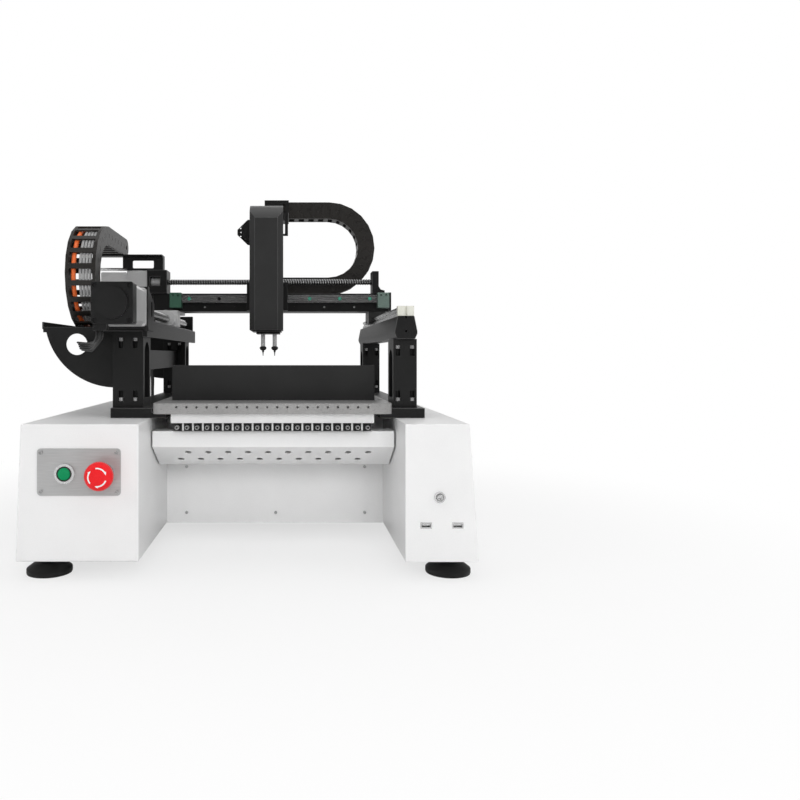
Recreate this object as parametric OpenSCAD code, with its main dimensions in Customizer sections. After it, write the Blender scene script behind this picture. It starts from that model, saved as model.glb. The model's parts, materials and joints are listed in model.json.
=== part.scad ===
// Desktop pick and place machine: a two-nozzle head on an X beam that travels on
// two bridges over a table with a row of tape lanes, all on a sheet-metal base.
// X runs left to right, Y front to back and Z up. The origin is on the ground, under
// the middle of the whole machine. Depths are counted back from the towers' front face.

/* [Base] */
// Overall width of the base at its foot
base_w = 640; // [560:5:780]
// Depth of the base
base_d = 690; // [570:5:840]
// Height of the sheet-metal base
base_h = 190.5; // [160:0.5:230]
// Width of the left tower, which holds the controls
left_tower_w = 170.3; // [160:0.1:200]
// Width of the right tower
right_tower_w = 101.2; // [95:0.1:120]
// How far the middle of the base is set back from the towers' front
recess_d = 237; // [200:1:280]
// Inward lean of the left outer wall over its height
left_lean = 7; // [0:0.5:10]
// Inward lean of the right outer wall over its height
right_lean = 12.5; // [0:0.5:15]
// Thickness of the base's sheet metal
sheet_t = 2; // [1.5:0.1:3]
// Height of the levelling feet
foot_h = 27.3; // [22:0.1:40]
// Diameter of a foot's pad
foot_d = 64; // [50:1:80]

/* [Feeder table] */
// Thickness of the table plate
table_t = 15.6; // [10:0.2:20]
// Depth of the table plate
table_d = 540; // [380:5:560]
// Pitch of the tape lanes
lane_pitch = 14.77; // [12:0.01:18]
// Height of the dark wall behind the pick area
wall_h = 55; // [40:1:56]

/* [Bridges] */
// Height of the left guide rail's seat above the ground
guide_z = 367.7; // [350:0.1:420]
// Width of the left posts
left_post_w = 47; // [40:1:52]
// Width of the right posts
right_post_w = 36; // [34:1:44]
// Depth of a post
post_d = 58; // [50:1:70]
// Distance from the rear posts to the back of the base
rear_margin = 70; // [50:1:90]
// Thickness of the left bridge plate
bridge_t = 18; // [14:1:22]

/* [Beam and drives] */
// Distance of the beam's front from the towers' front, as stored
gantry_at = 459; // [440:1:480]
// Depth of the beam
beam_d = 58; // [52:1:62]
// Height of the beam
beam_h = 36.5; // [34:0.5:44]
// Diameter of the long Y screw
y_screw_d = 16; // [12:1:18]
// Diameter of the X screw
x_screw_d = 12; // [10:1:14]
// Side of the Y motor
y_motor_w = 57; // [50:0.5:60]
// Side of the X motor
x_motor_w = 42.3; // [40:0.1:44]

/* [Head] */
// Centre of the head across the machine, as stored
head_x = 16; // [0:1:30]
// Width of the head cover
cover_w = 62.7; // [60:0.1:70]
// Height of the head cover's underside above the ground
cover_z = 360; // [356:0.5:370]
// Chamfer on the head cover's front edges
cover_chamfer = 10; // [4:0.5:12]
// Distance between the two nozzles
nozzle_pitch = 22; // [20.5:0.1:23]
// Diameter of a nozzle spindle
spindle_d = 8; // [6:0.5:9]

/* [Cable chains] */
// Bend radius of both chains, at the link pivots
chain_r = 78; // [65:1:94]
// Height of a link
link_h = 34; // [28:1:38]
// Width of the Y chain
y_chain_w = 52; // [40:1:56]
// Width of the X chain
x_chain_w = 40; // [30:1:44]
// Links in the Y chain's half turn
y_bend_n = 10; // [8:1:11]
// Links in the X chain's half turn
x_bend_n = 12; // [10:1:13]
// Thickness of a link's side plate
link_t = 2.6; // [2:0.1:3]

/* [Controls] */
// Diameter of the emergency stop's head
estop_d = 40; // [34:1:46]
// How far the emergency stop stands out of the towers' front
estop_out = 35; // [30:1:40]
// Width of the control plate
control_w = 115.5; // [110:0.5:125]
// Height of the control plate
control_h = 65.1; // [55:0.1:75]

/* [Hidden] */
$fn = 48;

// Clearances
run_gap = 0.1;       // radial, shaft in bore
slip = 0.3;          // side clearance of loose fits
flush = 0.05;        // between a screw and its hole

// Base
y_front = -base_d / 2 + estop_out / 2;
y_back = y_front + base_d;
y_recess = y_front + recess_d;
base_z0 = foot_h;
base_z1 = foot_h + base_h;
x_left = -base_w / 2;
x_right = base_w / 2;
xl_in = x_left + left_tower_w;
xr_in = x_right - right_tower_w;
bay_x = (xl_in + xr_in) / 2;
foot_x = x_right - 33;
foot_y = base_d / 2 - 45;
mid_y = (y_front + y_back) / 2;

// Base rails and table
ledge_t = 8.9;
pad_t = 15.2;
table_x0 = xl_in + 7.3;
table_x1 = xr_in - 9.2;
table_z0 = base_z1 + ledge_t;
table_z1 = table_z0 + table_t;
table_y0 = y_front + 60;
table_y1 = table_y0 + table_d;
lane_n = floor((table_x1 - table_x0 - 50) / lane_pitch);
lane_x0 = (table_x0 + table_x1) / 2 - (lane_n - 1) * lane_pitch / 2;
block_w = lane_pitch - 2.7;
bar_t = 14.1;
bar_z0 = table_z0 - bar_t;
block_h = 12.1;
block_z0 = bar_z0 - block_h;
bar_y0 = table_y0 + 10;
guard_t = 1.5;
guard_y = y_front + 90;
guard_z1 = block_z0 - 1.8;
guard_fold_z = guard_z1 - 24.1;
guard_low_y = guard_y + 60;
guard_low_z = guard_fold_z - 34.6;
hole_n = floor((xr_in - xl_in - 62) / 30.6);
wall_y = y_front + 138;
wall_x0 = table_x0 + 17;
wall_x1 = table_x1 - 17;
wall_t = 3;
clamp_y = y_front + 360;
clamp_t = 12;
clamp_h = 47;
slot_x = [wall_x0 + 22, wall_x1 - 22];
slot_w = 6;
slot_y0 = wall_y + 22;
slot_y1 = clamp_y + 80;

// Posts and bridges
post_z0 = base_z1 + pad_t;
post_y = [y_front + 110, y_back - rear_margin - post_d];
lp_x1 = xl_in - 15.3;
lp_x0 = lp_x1 - left_post_w;
rp_x0 = xr_in - 0.8;
rp_x1 = rp_x0 + right_post_w;
rail_h = 15;
rail_w = 15;
stack_h = 28;        // rail seat to carriage top
saddle_t = 5;
beam_z0 = guide_z + stack_h + saddle_t;
beam_z1 = beam_z0 + beam_h;
lb_z0 = guide_z - bridge_t;
lb_x1 = lp_x1 + 8;
lb_x0 = lb_x1 - 83;
rb_x = (rp_x0 + rp_x1) / 2;
rb_z1 = beam_z0 - stack_h;
rb_z0 = rb_z1 - 34.7;
bridge_y0 = y_front + 100;
bridge_y1 = post_y[1] + post_d + 47;
rail_y0 = bridge_y0 + 17;
rail_y1 = bridge_y1 - 4;
lrail_x = lb_x0 + 18;
bolt_dx = 11;
bolt_set = 4;        // from a post's front face to its bolt
bolt_notch = 16;
bolt_foot = 10;
tie_z = [post_z0 + 55, post_z0 + 89];

// Y drive
ys_x = lb_x1 - 24;
ys_z = guide_z + 16.3;
ym_y0 = y_front + 1;
ym_y1 = y_front + 64;
ym_face = y_front + 73;
ym_cap_y0 = y_front - 23;
mount_y0 = ym_face;
mount_t = 10;
mount_y1 = y_front + 123;
front_brg = [y_front + 131, y_front + 149];
rear_brg = [bridge_y1 - 12, bridge_y1];
shaft_d = 8;
journal_d = 10;
coupler_d = 25;
nut_d = 22;

// Beam
beam_y0 = y_front + gantry_at;
beam_y1 = beam_y0 + beam_d;
beam_x0 = lb_x0 + 26;
beam_x1 = rb_x + 22;
end_t = 6;
xrail_z = beam_z0 + 25;
xrail_x0 = beam_x0 + 43.6;
xrail_x1 = beam_x1 - 8.4;
stop_w = 23;
stop_d = 24;
stop_h = 30;
lstop_x0 = xrail_x0 - 7.6;
rstop_x0 = xrail_x1 - 15.2;
xs_y = beam_y0 + 14;
xs_z = beam_z1 + 24.3;
xbl = [beam_x0 - 12, beam_x0 + 28];
xbr = [beam_x1 - 32, beam_x1 - 19];
xm_x0 = xbl[0] - 40;
xbrg_h = 46.8;
x_shaft_d = 5;
x_journal_d = 8;
carriage_w = 34;
carriage_h = 24;
carriage_l = 61;

// Chains
link_gap = 0.3;
y_pitch = 2 * chain_r * sin(90 / y_bend_n);
x_pitch = 2 * chain_r * sin(90 / x_bend_n);
tray_t = 3;
tray_z1 = lb_z0 + 7.3;
yc_x = tray_x0() + 2.5 + slip + y_chain_w / 2;
yc_y = y_front + 330;
yc_z0 = tray_z1 + 2 + link_h / 2;
yc_z = yc_z0 + chain_r;
y_low_n = 4;
y_up_n = 6;
xc_y = beam_y1 - 14 + x_chain_w / 2;
xc_x = beam_x1 - 117;
xc_z0 = beam_z1 + tray_t + link_h / 2;
xc_z = xc_z0 + chain_r;
x_low_n = 5;
x_up_n = 5;
function tray_x0() = lb_x0 - 87;
gusset_r = 105;
tray_y0 = post_y[0] + 20;
tray_y1 = post_y[1] + 20;
gusset_hole = 33.5;

// Head
saddle_y0 = beam_y0 - stack_h - 10;
plate_y0 = saddle_y0 - 8;
cover_y0 = saddle_y0 - 76;
cover_y1 = saddle_y0;
cover_z1 = cover_z + 240.6;
cover_t = 2.5;
cover_crease = 31.6; // from the cover's top down to the foot of its rounded brow
brow_r = 66.7;
plate_w = cover_w - 2 * cover_t - 2 * slip;
nozzle_x = head_x + 4.4;
nozzle_y = cover_y0 + 26;
tip_z = cover_z - 48;
slide_z = [cover_z + 50, cover_z + 90];
slide_w = nozzle_pitch - 3;
pulley_r = nozzle_pitch / 2;
belt_t = 1.4;
belt_w = 7;
belt_y = cover_y0 + 39.5;
pulley_z = cover_z + 185;
idler_z = cover_z + 20;
zm_x = head_x - 33;
zm_z = cover_z + 196;
zm_d = 36;

// Controls
plate_front = y_front - 1.5;
control_x = xl_in - 24.3 - control_w / 2;
control_z = base_z0 + 124.5;
start_x = control_x - 19.25;
stop_x = control_x + 33.75;
button_z = control_z - 2;
button_hole = 22.3;
start_bezel_d = 28;
start_cap_d = 18;
stem_d = 12;
power_x = xr_in + 47.2;
power_z = base_z0 + 89.7;
usb_x = [xr_in + 28.4, xr_in + 72.2];
usb_z = base_z0 + 50.7;

// ---------- shapes shared by the pieces ----------

module bx(x0, x1, y0, y1, z0, z1) {
  translate([x0, y0, z0]) cube([x1 - x0, y1 - y0, z1 - z0]);
}
module rod_x(y, z, x0, x1, d) {
  translate([x0, y, z]) rotate([0, 90, 0]) cylinder(h = x1 - x0, d = d);
}
module rod_y(x, z, y0, y1, d) {
  translate([x, y0, z]) rotate([-90, 0, 0]) cylinder(h = y1 - y0, d = d);
}
module rod_z(x, y, z0, z1, d) {
  translate([x, y, z0]) cylinder(h = z1 - z0, d = d);
}

// Rectangle about the origin with true round corners
module rrect(w, h, r) {
  square([w - 2 * r, h], center = true);
  square([w, h - 2 * r], center = true);
  for (sx = [-1, 1], sy = [-1, 1]) translate([sx * (w / 2 - r), sy * (h / 2 - r)]) circle(r);
}
module slab_z(x0, x1, y0, y1, z0, z1, r) {
  translate([(x0 + x1) / 2, (y0 + y1) / 2, z0])
    linear_extrude(z1 - z0) rrect(x1 - x0, y1 - y0, r);
}
module slab_y(x0, x1, y0, y1, z0, z1, r) {
  translate([(x0 + x1) / 2, y1, (z0 + z1) / 2]) rotate([90, 0, 0])
    linear_extrude(y1 - y0) rrect(x1 - x0, z1 - z0, r);
}

// A flat outline drawn in X and Z, from y0 to y1
module along_y(y0, y1) {
  translate([0, y1, 0]) rotate([90, 0, 0]) linear_extrude(y1 - y0) children();
}
// A flat outline drawn in Y and Z, from x0 to x1
module along_x(x0, x1) {
  translate([x0, 0, 0]) rotate([90, 0, 90]) linear_extrude(x1 - x0) children();
}

// Outline of bent sheet: a path of corners with a wall of thickness t on its left
function unit(v) = v / norm(v);
function left_of(a, b) = let (u = unit(b - a)) [-u[1], u[0]];
function sheet_point(p, i, t) =
  let (n = len(p) - 1,
    a = i == 0 ? left_of(p[0], p[1]) : left_of(p[i - 1], p[i]),
    b = i == n ? a : left_of(p[i], p[i + 1]))
  p[i] + t * (a + b) / (1 + a * b);
module bent_sheet(p, t) {
  polygon(concat(p, [for (i = [len(p) - 1:-1:0]) sheet_point(p, i, t)]));
}

// Socket head screw whose head's underside is at the origin, pointing down
module cap_screw(d, l) {
  difference() {
    union() {
      cylinder(h = d, d = 1.7 * d);
      translate([0, 0, -l]) cylinder(h = l, d = d);
    }
    translate([0, 0, 0.45 * d]) cylinder(h = d, d = 0.95 * d, $fn = 6);
  }
}
module screw_y(x, y, z, d, l) {
  translate([x, y, z]) rotate([90, 0, 0]) cap_screw(d, l);
}

// Profile guide rail on a seat at z = 0, along +Y from y = 0, with counterbored holes
module guide_rail(l) {
  waist = 2;
  difference() {
    along_y(0, l) polygon([
      [-rail_w / 2, 0], [rail_w / 2, 0], [rail_w / 2, 5.5], [rail_w / 2 - waist, 7.5],
      [rail_w / 2 - waist, 10], [rail_w / 2, 12], [rail_w / 2, rail_h],
      [-rail_w / 2, rail_h], [-rail_w / 2, 12], [-rail_w / 2 + waist, 10],
      [-rail_w / 2 + waist, 7.5], [-rail_w / 2, 5.5]]);
    for (y = [30:60:l - 10]) {
      translate([0, y, -1]) cylinder(h = rail_h + 2, d = 4.5);
      translate([0, y, rail_h - 5.3]) cylinder(h = 6, d = 7.5);
    }
  }
}
// Guide carriage over such a rail, centred on the origin's Y, its top at stack_h
module guide_carriage(l) {
  z0 = stack_h - carriage_h;
  difference() {
    translate([-carriage_w / 2, -l / 2, z0]) cube([carriage_w, l, carriage_h]);
    translate([-rail_w / 2 - 0.4, -l, -1]) cube([rail_w + 0.8, 2 * l, rail_h + 1.4]);
    for (s = [-1, 1]) translate([s * carriage_w / 2, 0, z0 + 5])
      rotate([0, 45, 0]) cube([3, l - 20, 3], center = true);
    for (sx = [-1, 1], sy = [-1, 1])
      translate([sx * 13, sy * 13, stack_h - 6]) cylinder(h = 7, d = 4);
  }
}

// Cable or lead of diameter d along a path that never runs along X
function path_dir(p, i) = unit(p[min(i + 1, len(p) - 1)] - p[max(i - 1, 0)]);
function ring_point(p, i, r, a) = let (t = path_dir(p, i), u = unit(cross(t, [1, 0, 0])))
  p[i] + r * (u * cos(a) + cross(t, u) * sin(a));
module tube(p, d) {
  n = len(p);
  m = 8;
  polyhedron(
    points = [for (i = [0:n - 1], k = [0:m - 1]) ring_point(p, i, d / 2, 360 * k / m)],
    faces = concat(
      [[for (k = [0:m - 1]) k]],
      [for (i = [0:n - 2], k = [0:m - 1]) let (a = i * m + k, b = i * m + (k + 1) % m)
        [a, a + m, b + m, b]],
      [[for (k = [m - 1:-1:0]) (n - 1) * m + k]]));
}

// Chain link from its pivot at the origin to the next at [p, 0, 0]; +Z faces outwards
module tongue2d(p) {
  r = link_h / 2;
  difference() {
    union() {
      circle(r);
      translate([0, -r]) square([p, 2 * r]);
    }
    translate([p, 0]) circle(r + link_gap);
  }
}
function pin_d(p) = min(8, 2 * (p - link_h / 2 - link_gap));
module fork2d(p) {
  r = link_h / 2;
  difference() {
    union() {
      translate([p, 0]) circle(r);
      translate([0, -r]) square([p, 2 * r]);
    }
    circle(r + link_gap);
    translate([p, 0]) circle(d = pin_d(p) + 2 * link_gap);
  }
}
module chain_link(p, w, lid) {
  r = link_h / 2;
  y_out = w / 2 - link_t;
  y_in = y_out - link_gap;
  bar_x1 = p - sqrt(pow(r + link_gap, 2) - pow(r - 3, 2)) - 0.3;
  bar_x0 = lid ? 0 : bar_x1 - 9;
  for (s = [0, 1]) mirror([0, s, 0]) {
    along_y(y_out, w / 2) fork2d(p);
    along_y(y_in - link_t, y_in) tongue2d(p);
    along_y(y_in - 0.1, y_out + 0.1) intersection() {
      tongue2d(p);
      fork2d(p);
    }
    rod_y(0, 0, y_in - 0.1, w / 2 - 0.2, pin_d(p));
  }
  translate([bar_x0, -y_in, r - 3]) cube([bar_x1 - bar_x0, 2 * y_in, 3]);
  y_lap = y_in - link_t - link_gap;
  if (lid) translate([bar_x1 - p + 1.5, -y_lap, r - 3])
    cube([p - bar_x1, 2 * y_lap, 1.8]);
  translate([bar_x1 - 9, -y_in, -r]) cube([9, 2 * y_in, 3]);
}

// Pivots of a half turn about [c, z], numbered from the lower end, by side = -1 or 1
function bend_point(c, z, side, n, i) =
  [c + side * chain_r * sin(180 * i / n), z - chain_r * cos(180 * i / n)];
module y_links(points) {
  for (i = [0:len(points) - 2])
    translate([yc_x, points[i][0], points[i][1]])
      rotate([atan2(points[i + 1][1] - points[i][1], points[i + 1][0] - points[i][0]), 0, 0])
        rotate([0, 0, 90]) chain_link(y_pitch, y_chain_w, false);
}
module x_links(points) {
  for (i = [0:len(points) - 2])
    translate([points[i][0], xc_y, points[i][1]])
      rotate([0, -atan2(points[i + 1][1] - points[i][1], points[i + 1][0] - points[i][0]), 0])
        rotate([180, 0, 0]) chain_link(x_pitch, x_chain_w, true);
}

// ---------- base ----------

// Walls of a base box: an outline in X and Z, run front to back and shelled
module shell_box(outer, inner, y0, y1) {
  difference() {
    along_y(y0, y1) polygon(outer);
    along_y(y0 + sheet_t, y1 - sheet_t) polygon(inner);
  }
}
module left_tower() color("white") {
  t = sheet_t;
  difference() {
    shell_box(
      [[x_left, base_z0], [xl_in, base_z0], [xl_in, base_z1], [x_left + left_lean, base_z1]],
      [[x_left + t, base_z0 + t], [xl_in - t, base_z0 + t], [xl_in - t, base_z1 - t],
        [x_left + left_lean + t, base_z1 - t]], y_front, y_back);
    for (x = [start_x, stop_x])
      rod_y(x, button_z, y_front - 1, y_front + t + 1, button_hole);
    for (p = rail_bolts(-1)) rod_z(p[0], p[1], base_z1 - t - 1, base_z1 + 1, 5.5);
    for (y = [-foot_y, foot_y]) rod_z(-foot_x, mid_y + y, base_z0 - 1, base_z0 + t + 1, 10.6);
  }
}
module right_tower() color("white") {
  t = sheet_t;
  difference() {
    shell_box(
      [[xr_in, base_z0], [x_right, base_z0], [x_right - right_lean, base_z1], [xr_in, base_z1]],
      [[xr_in + t, base_z0 + t], [x_right - t, base_z0 + t],
        [x_right - right_lean - t, base_z1 - t], [xr_in + t, base_z1 - t]], y_front, y_back);
    rod_y(power_x, power_z, y_front - 1, y_front + t + 1, 12.3);
    for (x = usb_x) bx(x - 7.4, x + 7.4, y_front - 1, y_front + t + 1, usb_z - 3.7, usb_z + 3.7);
    for (p = rail_bolts(1)) rod_z(p[0], p[1], base_z1 - t - 1, base_z1 + 1, 5.5);
    for (y = [-foot_y, foot_y]) rod_z(foot_x, mid_y + y, base_z0 - 1, base_z0 + t + 1, 10.6);
  }
}

cover_margin = 28.7;
hatch_x0 = xl_in + cover_margin;
hatch_x1 = xr_in - cover_margin + 2;
hatch_z0 = base_z0 + 13;
hatch_z1 = base_z0 + 101;
module centre_housing() color("white") {
  t = sheet_t;
  difference() {
    bx(xl_in, xr_in, y_recess, y_back, base_z0, base_z1);
    bx(xl_in + t, xr_in - t, y_recess + t, y_back - t, base_z0 + t, base_z1 - t);
    slab_y(hatch_x0 + 12, hatch_x1 - 12, y_recess - 1, y_recess + t + 1,
      hatch_z0 + 12, hatch_z1 - 12, 6);
    for (p = hatch_screws()) rod_y(p[0], p[1], y_recess - 1, y_recess + t + 1, 3 + 2 * flush);
    inlet_body(0.1);
    for (x = fan_x()) fan_slots(x);
  }
}
function hatch_screws() = [
  for (x = [hatch_x0 + 5, (hatch_x0 + hatch_x1) / 2, hatch_x1 - 5]) [x, hatch_z0 + 5],
  for (x = [hatch_x0 + 5, hatch_x1 - 5]) [x, hatch_z1 - 5]];
module access_cover() color("whitesmoke") difference() {
  slab_y(hatch_x0, hatch_x1, y_recess - 1.5, y_recess, hatch_z0, hatch_z1, 5);
  for (p = hatch_screws()) rod_y(p[0], p[1], y_recess - 3, y_recess + 1, 3 + 2 * flush);
}

// Rear of the base: power inlet and two vents
inlet_x = bay_x + 120;
inlet_z = base_z0 + 60;
module inlet_body(gap) {
  slab_y(inlet_x - 14 - gap, inlet_x + 14 + gap, y_back - 22, y_back + 1,
    inlet_z - 24 - gap, inlet_z + 24 + gap, 3);
}
module rear_inlet() color("#202022") difference() {
  union() {
    slab_y(inlet_x - 14, inlet_x + 14, y_back - 20, y_back + 0.5, inlet_z - 24, inlet_z + 24, 3);
    slab_y(inlet_x - 17, inlet_x + 17, y_back, y_back + 2.5, inlet_z - 27, inlet_z + 27, 4);
  }
  slab_y(inlet_x - 12, inlet_x + 12, y_back - 16, y_back + 3, inlet_z - 20, inlet_z - 3, 3);
  slab_y(inlet_x - 10, inlet_x + 10, y_back - 1, y_back + 3, inlet_z + 3, inlet_z + 20, 1);
}
function fan_x() = [bay_x - 100, bay_x];
module fan_slots(x) {
  for (i = [-3:3])
    slab_y(x - 24, x + 24, y_back - sheet_t - 1, y_back + 1,
      inlet_z + 9 * i - 2, inlet_z + 9 * i + 2, 1.9);
}

module levelling_feet() color("#1c1c1e")
  for (x = [-foot_x, foot_x], y = [-foot_y, foot_y]) translate([x, mid_y + y, 0])
    rotate_extrude() polygon([[0, 0], [foot_d / 2 - 2, 0], [foot_d / 2, 2], [foot_d / 2, 6],
      [foot_d / 2 - 3, 9], [foot_d / 2 - 11, 14], [13, 16], [11, foot_h - 6.5],
      [11, foot_h], [5.2, foot_h], [5.2, foot_h + 9], [0, foot_h + 9]]);

// ---------- controls ----------

function plate_screws() = [for (sx = [-1, 1], sz = [-1, 1])
  [control_x + sx * (control_w / 2 - 5.5), control_z + sz * (control_h / 2 - 5.5)]];
module control_plate() color("#a8a8ac") difference() {
  slab_y(control_x - control_w / 2, control_x + control_w / 2, plate_front, y_front,
    control_z - control_h / 2, control_z + control_h / 2, 5);
  for (x = [start_x, stop_x]) rod_y(x, button_z, plate_front - 1, y_front + 1, button_hole);
  for (p = plate_screws()) rod_y(p[0], p[1], plate_front - 1, y_front + 1, 3 + 2 * flush);
}
// Start bezel, emergency stop collar and power bezel, each with its threaded barrel and nut
module bezel(x, z, face, d, proud, barrel, bore, depth) {
  difference() {
    union() {
      rod_y(x, z, face - proud, face, d);
      rod_y(x, z, face - 0.5, y_front + depth, barrel);
      translate([x, y_front + sheet_t, z]) rotate([-90, 0, 0])
        cylinder(h = 4, d = barrel * 1.3, $fn = 6);
    }
    rod_y(x, z, face - proud - 1, y_front + depth + 1, bore);
    translate([x, face - proud - 0.01, z]) rotate([-90, 0, 0])
      cylinder(h = 1.2, d1 = bore + 2.4, d2 = bore);
  }
}
module button_bezels() color("#c9cacc") {
  bezel(start_x, button_z, plate_front, start_bezel_d, 4, 22, start_cap_d, 20);
  bezel(stop_x, button_z, plate_front, 30, 5, 22, stem_d + 2 * run_gap, 25);
  bezel(power_x, power_z, y_front, 15, 2.5, 12, 9.2, 20);
}
module start_cap() color("#1d8a4a")
  translate([start_x, plate_front - 5.5, button_z]) rotate([-90, 0, 0])
    rotate_extrude() polygon([[0, 0], [start_cap_d / 2 - 1.6, 0], [start_cap_d / 2 - 0.2, 1.2],
      [start_cap_d / 2 - 0.2, 9], [5, 9], [5, 16], [0, 16]]);
module estop_stem() color("#2a2a2c")
  rod_y(stop_x, button_z, y_front - estop_out + 10, y_front + 20, stem_d);
module estop_head() color("#d3202a")
  translate([stop_x, y_front - estop_out, button_z]) rotate([-90, 0, 0]) difference() {
    rotate_extrude() polygon(concat(
      [[0, 0]],
      [for (a = [0:15:90]) [estop_d / 2 - 7 + 7 * sin(a), 7 - 7 * cos(a)]],
      [[estop_d / 2, 12], [estop_d / 2 - 2, 14], [13, 17], [12, 21.5], [0, 21.5]]));
    translate([0, 0, 9.7]) cylinder(h = 20, d = stem_d + 2 * run_gap);
  }
module power_cap() color("#8d9094")
  translate([power_x, y_front - 3.2, power_z]) rotate([-90, 0, 0])
    rotate_extrude() polygon([[0, 0.4], [3.2, 0], [4.2, 0.6], [4.5, 1.2], [4.5, 14], [0, 14]]);
module usb_ports() color("#b9bcc0") for (x = usb_x) difference() {
  union() {
    bx(x - 7.25, x + 7.25, y_front - 0.8, y_front + 14, usb_z - 3.55, usb_z + 3.55);
    slab_y(x - 7.9, x + 7.9, y_front - 0.8, y_front, usb_z - 4.2, usb_z + 4.2, 0.8);
  }
  difference() {
    bx(x - 6.25, x + 6.25, y_front - 2, y_front + 12.5, usb_z - 2.6, usb_z + 2.6);
    bx(x - 5.6, x + 5.6, y_front + 1, y_front + 13, usb_z - 0.2, usb_z + 1.8);
  }
}

// ---------- feeder table ----------

module feeder_guard() color("#f2f2f2") {
  path = [[guard_y + 40, guard_z1 - guard_t], [guard_y + guard_t, guard_z1 - guard_t],
    [guard_y + guard_t, guard_fold_z + 1], [guard_low_y + 1, guard_low_z + guard_t],
    [y_recess - guard_t, guard_low_z + guard_t], [y_recess - guard_t, guard_low_z + 16]];
  fall = atan2(guard_fold_z - guard_low_z, guard_low_y - guard_y);
  run = norm([guard_low_y - guard_y, guard_fold_z - guard_low_z]);
  difference() {
    along_x(xl_in + 2.2, xr_in - 2.2) bent_sheet([for (i = [5:-1:0]) path[i]], guard_t);
    for (i = [0:hole_n - 1], row = [0, 1]) {
      x = bay_x + (i - (hole_n - 1) / 2) * 30.6 + (row == 0 ? 7 : -7);
      at = run * (row == 0 ? 0.3 : 0.7);
      translate([x, guard_y + at * cos(fall), guard_fold_z - at * sin(fall)])
        rotate([-fall, 0, 0]) cylinder(h = 12, d = 10, center = true);
    }
  }
}
module feeder_bar() color("#d0cfd1") difference() {
  bx(lane_x0 - 10, lane_x0 + (lane_n - 1) * lane_pitch + 10, bar_y0, bar_y0 + 40, bar_z0, table_z0);
  for (i = [0:lane_n - 1])
    rod_z(lane_x0 + i * lane_pitch, bar_y0 + 28, bar_z0 - 1, bar_z0 + 8, 4 + 2 * flush);
}
module feeder_blocks() color("#1a1a1c")
  for (i = [0:lane_n - 1]) translate([lane_x0 + i * lane_pitch, bar_y0 + 5, block_z0]) difference() {
    translate([-block_w / 2, 0, 0]) cube([block_w, 32, block_h]);
    translate([0, -1, block_h / 2]) rotate([-90, 0, 0]) cylinder(h = 12, d = 4 + 2 * flush);
    translate([-2, 12, -1]) cube([4, 21, 5]);
  }
module table_plate() color("#6f6d70") difference() {
  slab_z(table_x0, table_x1, table_y0, table_y1, table_z0, table_z1, 10);
  for (i = [0:lane_n - 1]) {
    rod_y(lane_x0 + i * lane_pitch, table_z1 - 5.5, table_y0 - 1, table_y0 + 8, 3.4);
    rod_z(lane_x0 + (i + 0.25) * lane_pitch, table_y0 + 12, table_z1 - 6, table_z1 + 1, 3);
  }
  for (x = slot_x) slab_z(x - slot_w / 2, x + slot_w / 2, slot_y0, slot_y1,
    table_z0 - 1, table_z1 + 1, slot_w / 2 - 0.01);
  for (p = table_bolts()) {
    rod_z(p[0], p[1], table_z0 - 1, table_z1 + 1, 5.5);
    rod_z(p[0], p[1], table_z1 - 6, table_z1 + 1, 9.5);
  }
}
function table_bolts() = [for (x = [table_x0 + 7, table_x1 - 7],
  y = [table_y0 + 90, table_y0 + table_d / 2, table_y1 - 40]) [x, y]];
module feeder_wall() color("#222224") {
  z0 = table_z1;
  along_x(wall_x0, wall_x1) bent_sheet([[wall_y + 16, z0], [wall_y, z0],
    [wall_y, z0 + wall_h]], -wall_t);
  for (x = [wall_x0, wall_x1 - wall_t]) bx(x, x + wall_t, wall_y + 1, wall_y + 14, z0 + 1, z0 + wall_h);
  bx(wall_x0 + 5, wall_x1 - 5, wall_y + 2, wall_y + 10, z0 + 41, z0 + 46);
  bx(wall_x0 + 5, wall_x1 - 5, wall_y + 6, wall_y + 12, z0 + 38, z0 + 43);
}
// Clamp bar that holds a board against the wall's ledge; its pins run in the table's slots
module board_clamp() color("#b9bbbe") {
  z0 = table_z1 + 0.2;
  difference() {
    bx(wall_x0 + 5, wall_x1 - 5, clamp_y, clamp_y + clamp_t, z0, z0 + clamp_h);
    bx(wall_x0 + 40, wall_x1 - 40, clamp_y - 1, clamp_y + clamp_t + 1, z0 - 1, z0 + 30);
    bx(wall_x0, wall_x1, clamp_y - 1, clamp_y + 5, z0 + 43, z0 + clamp_h + 1);
  }
  for (x = slot_x) rod_z(x, clamp_y + clamp_t / 2, table_z0 + 2, z0 + 1, slot_w - 0.4);
}

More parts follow.
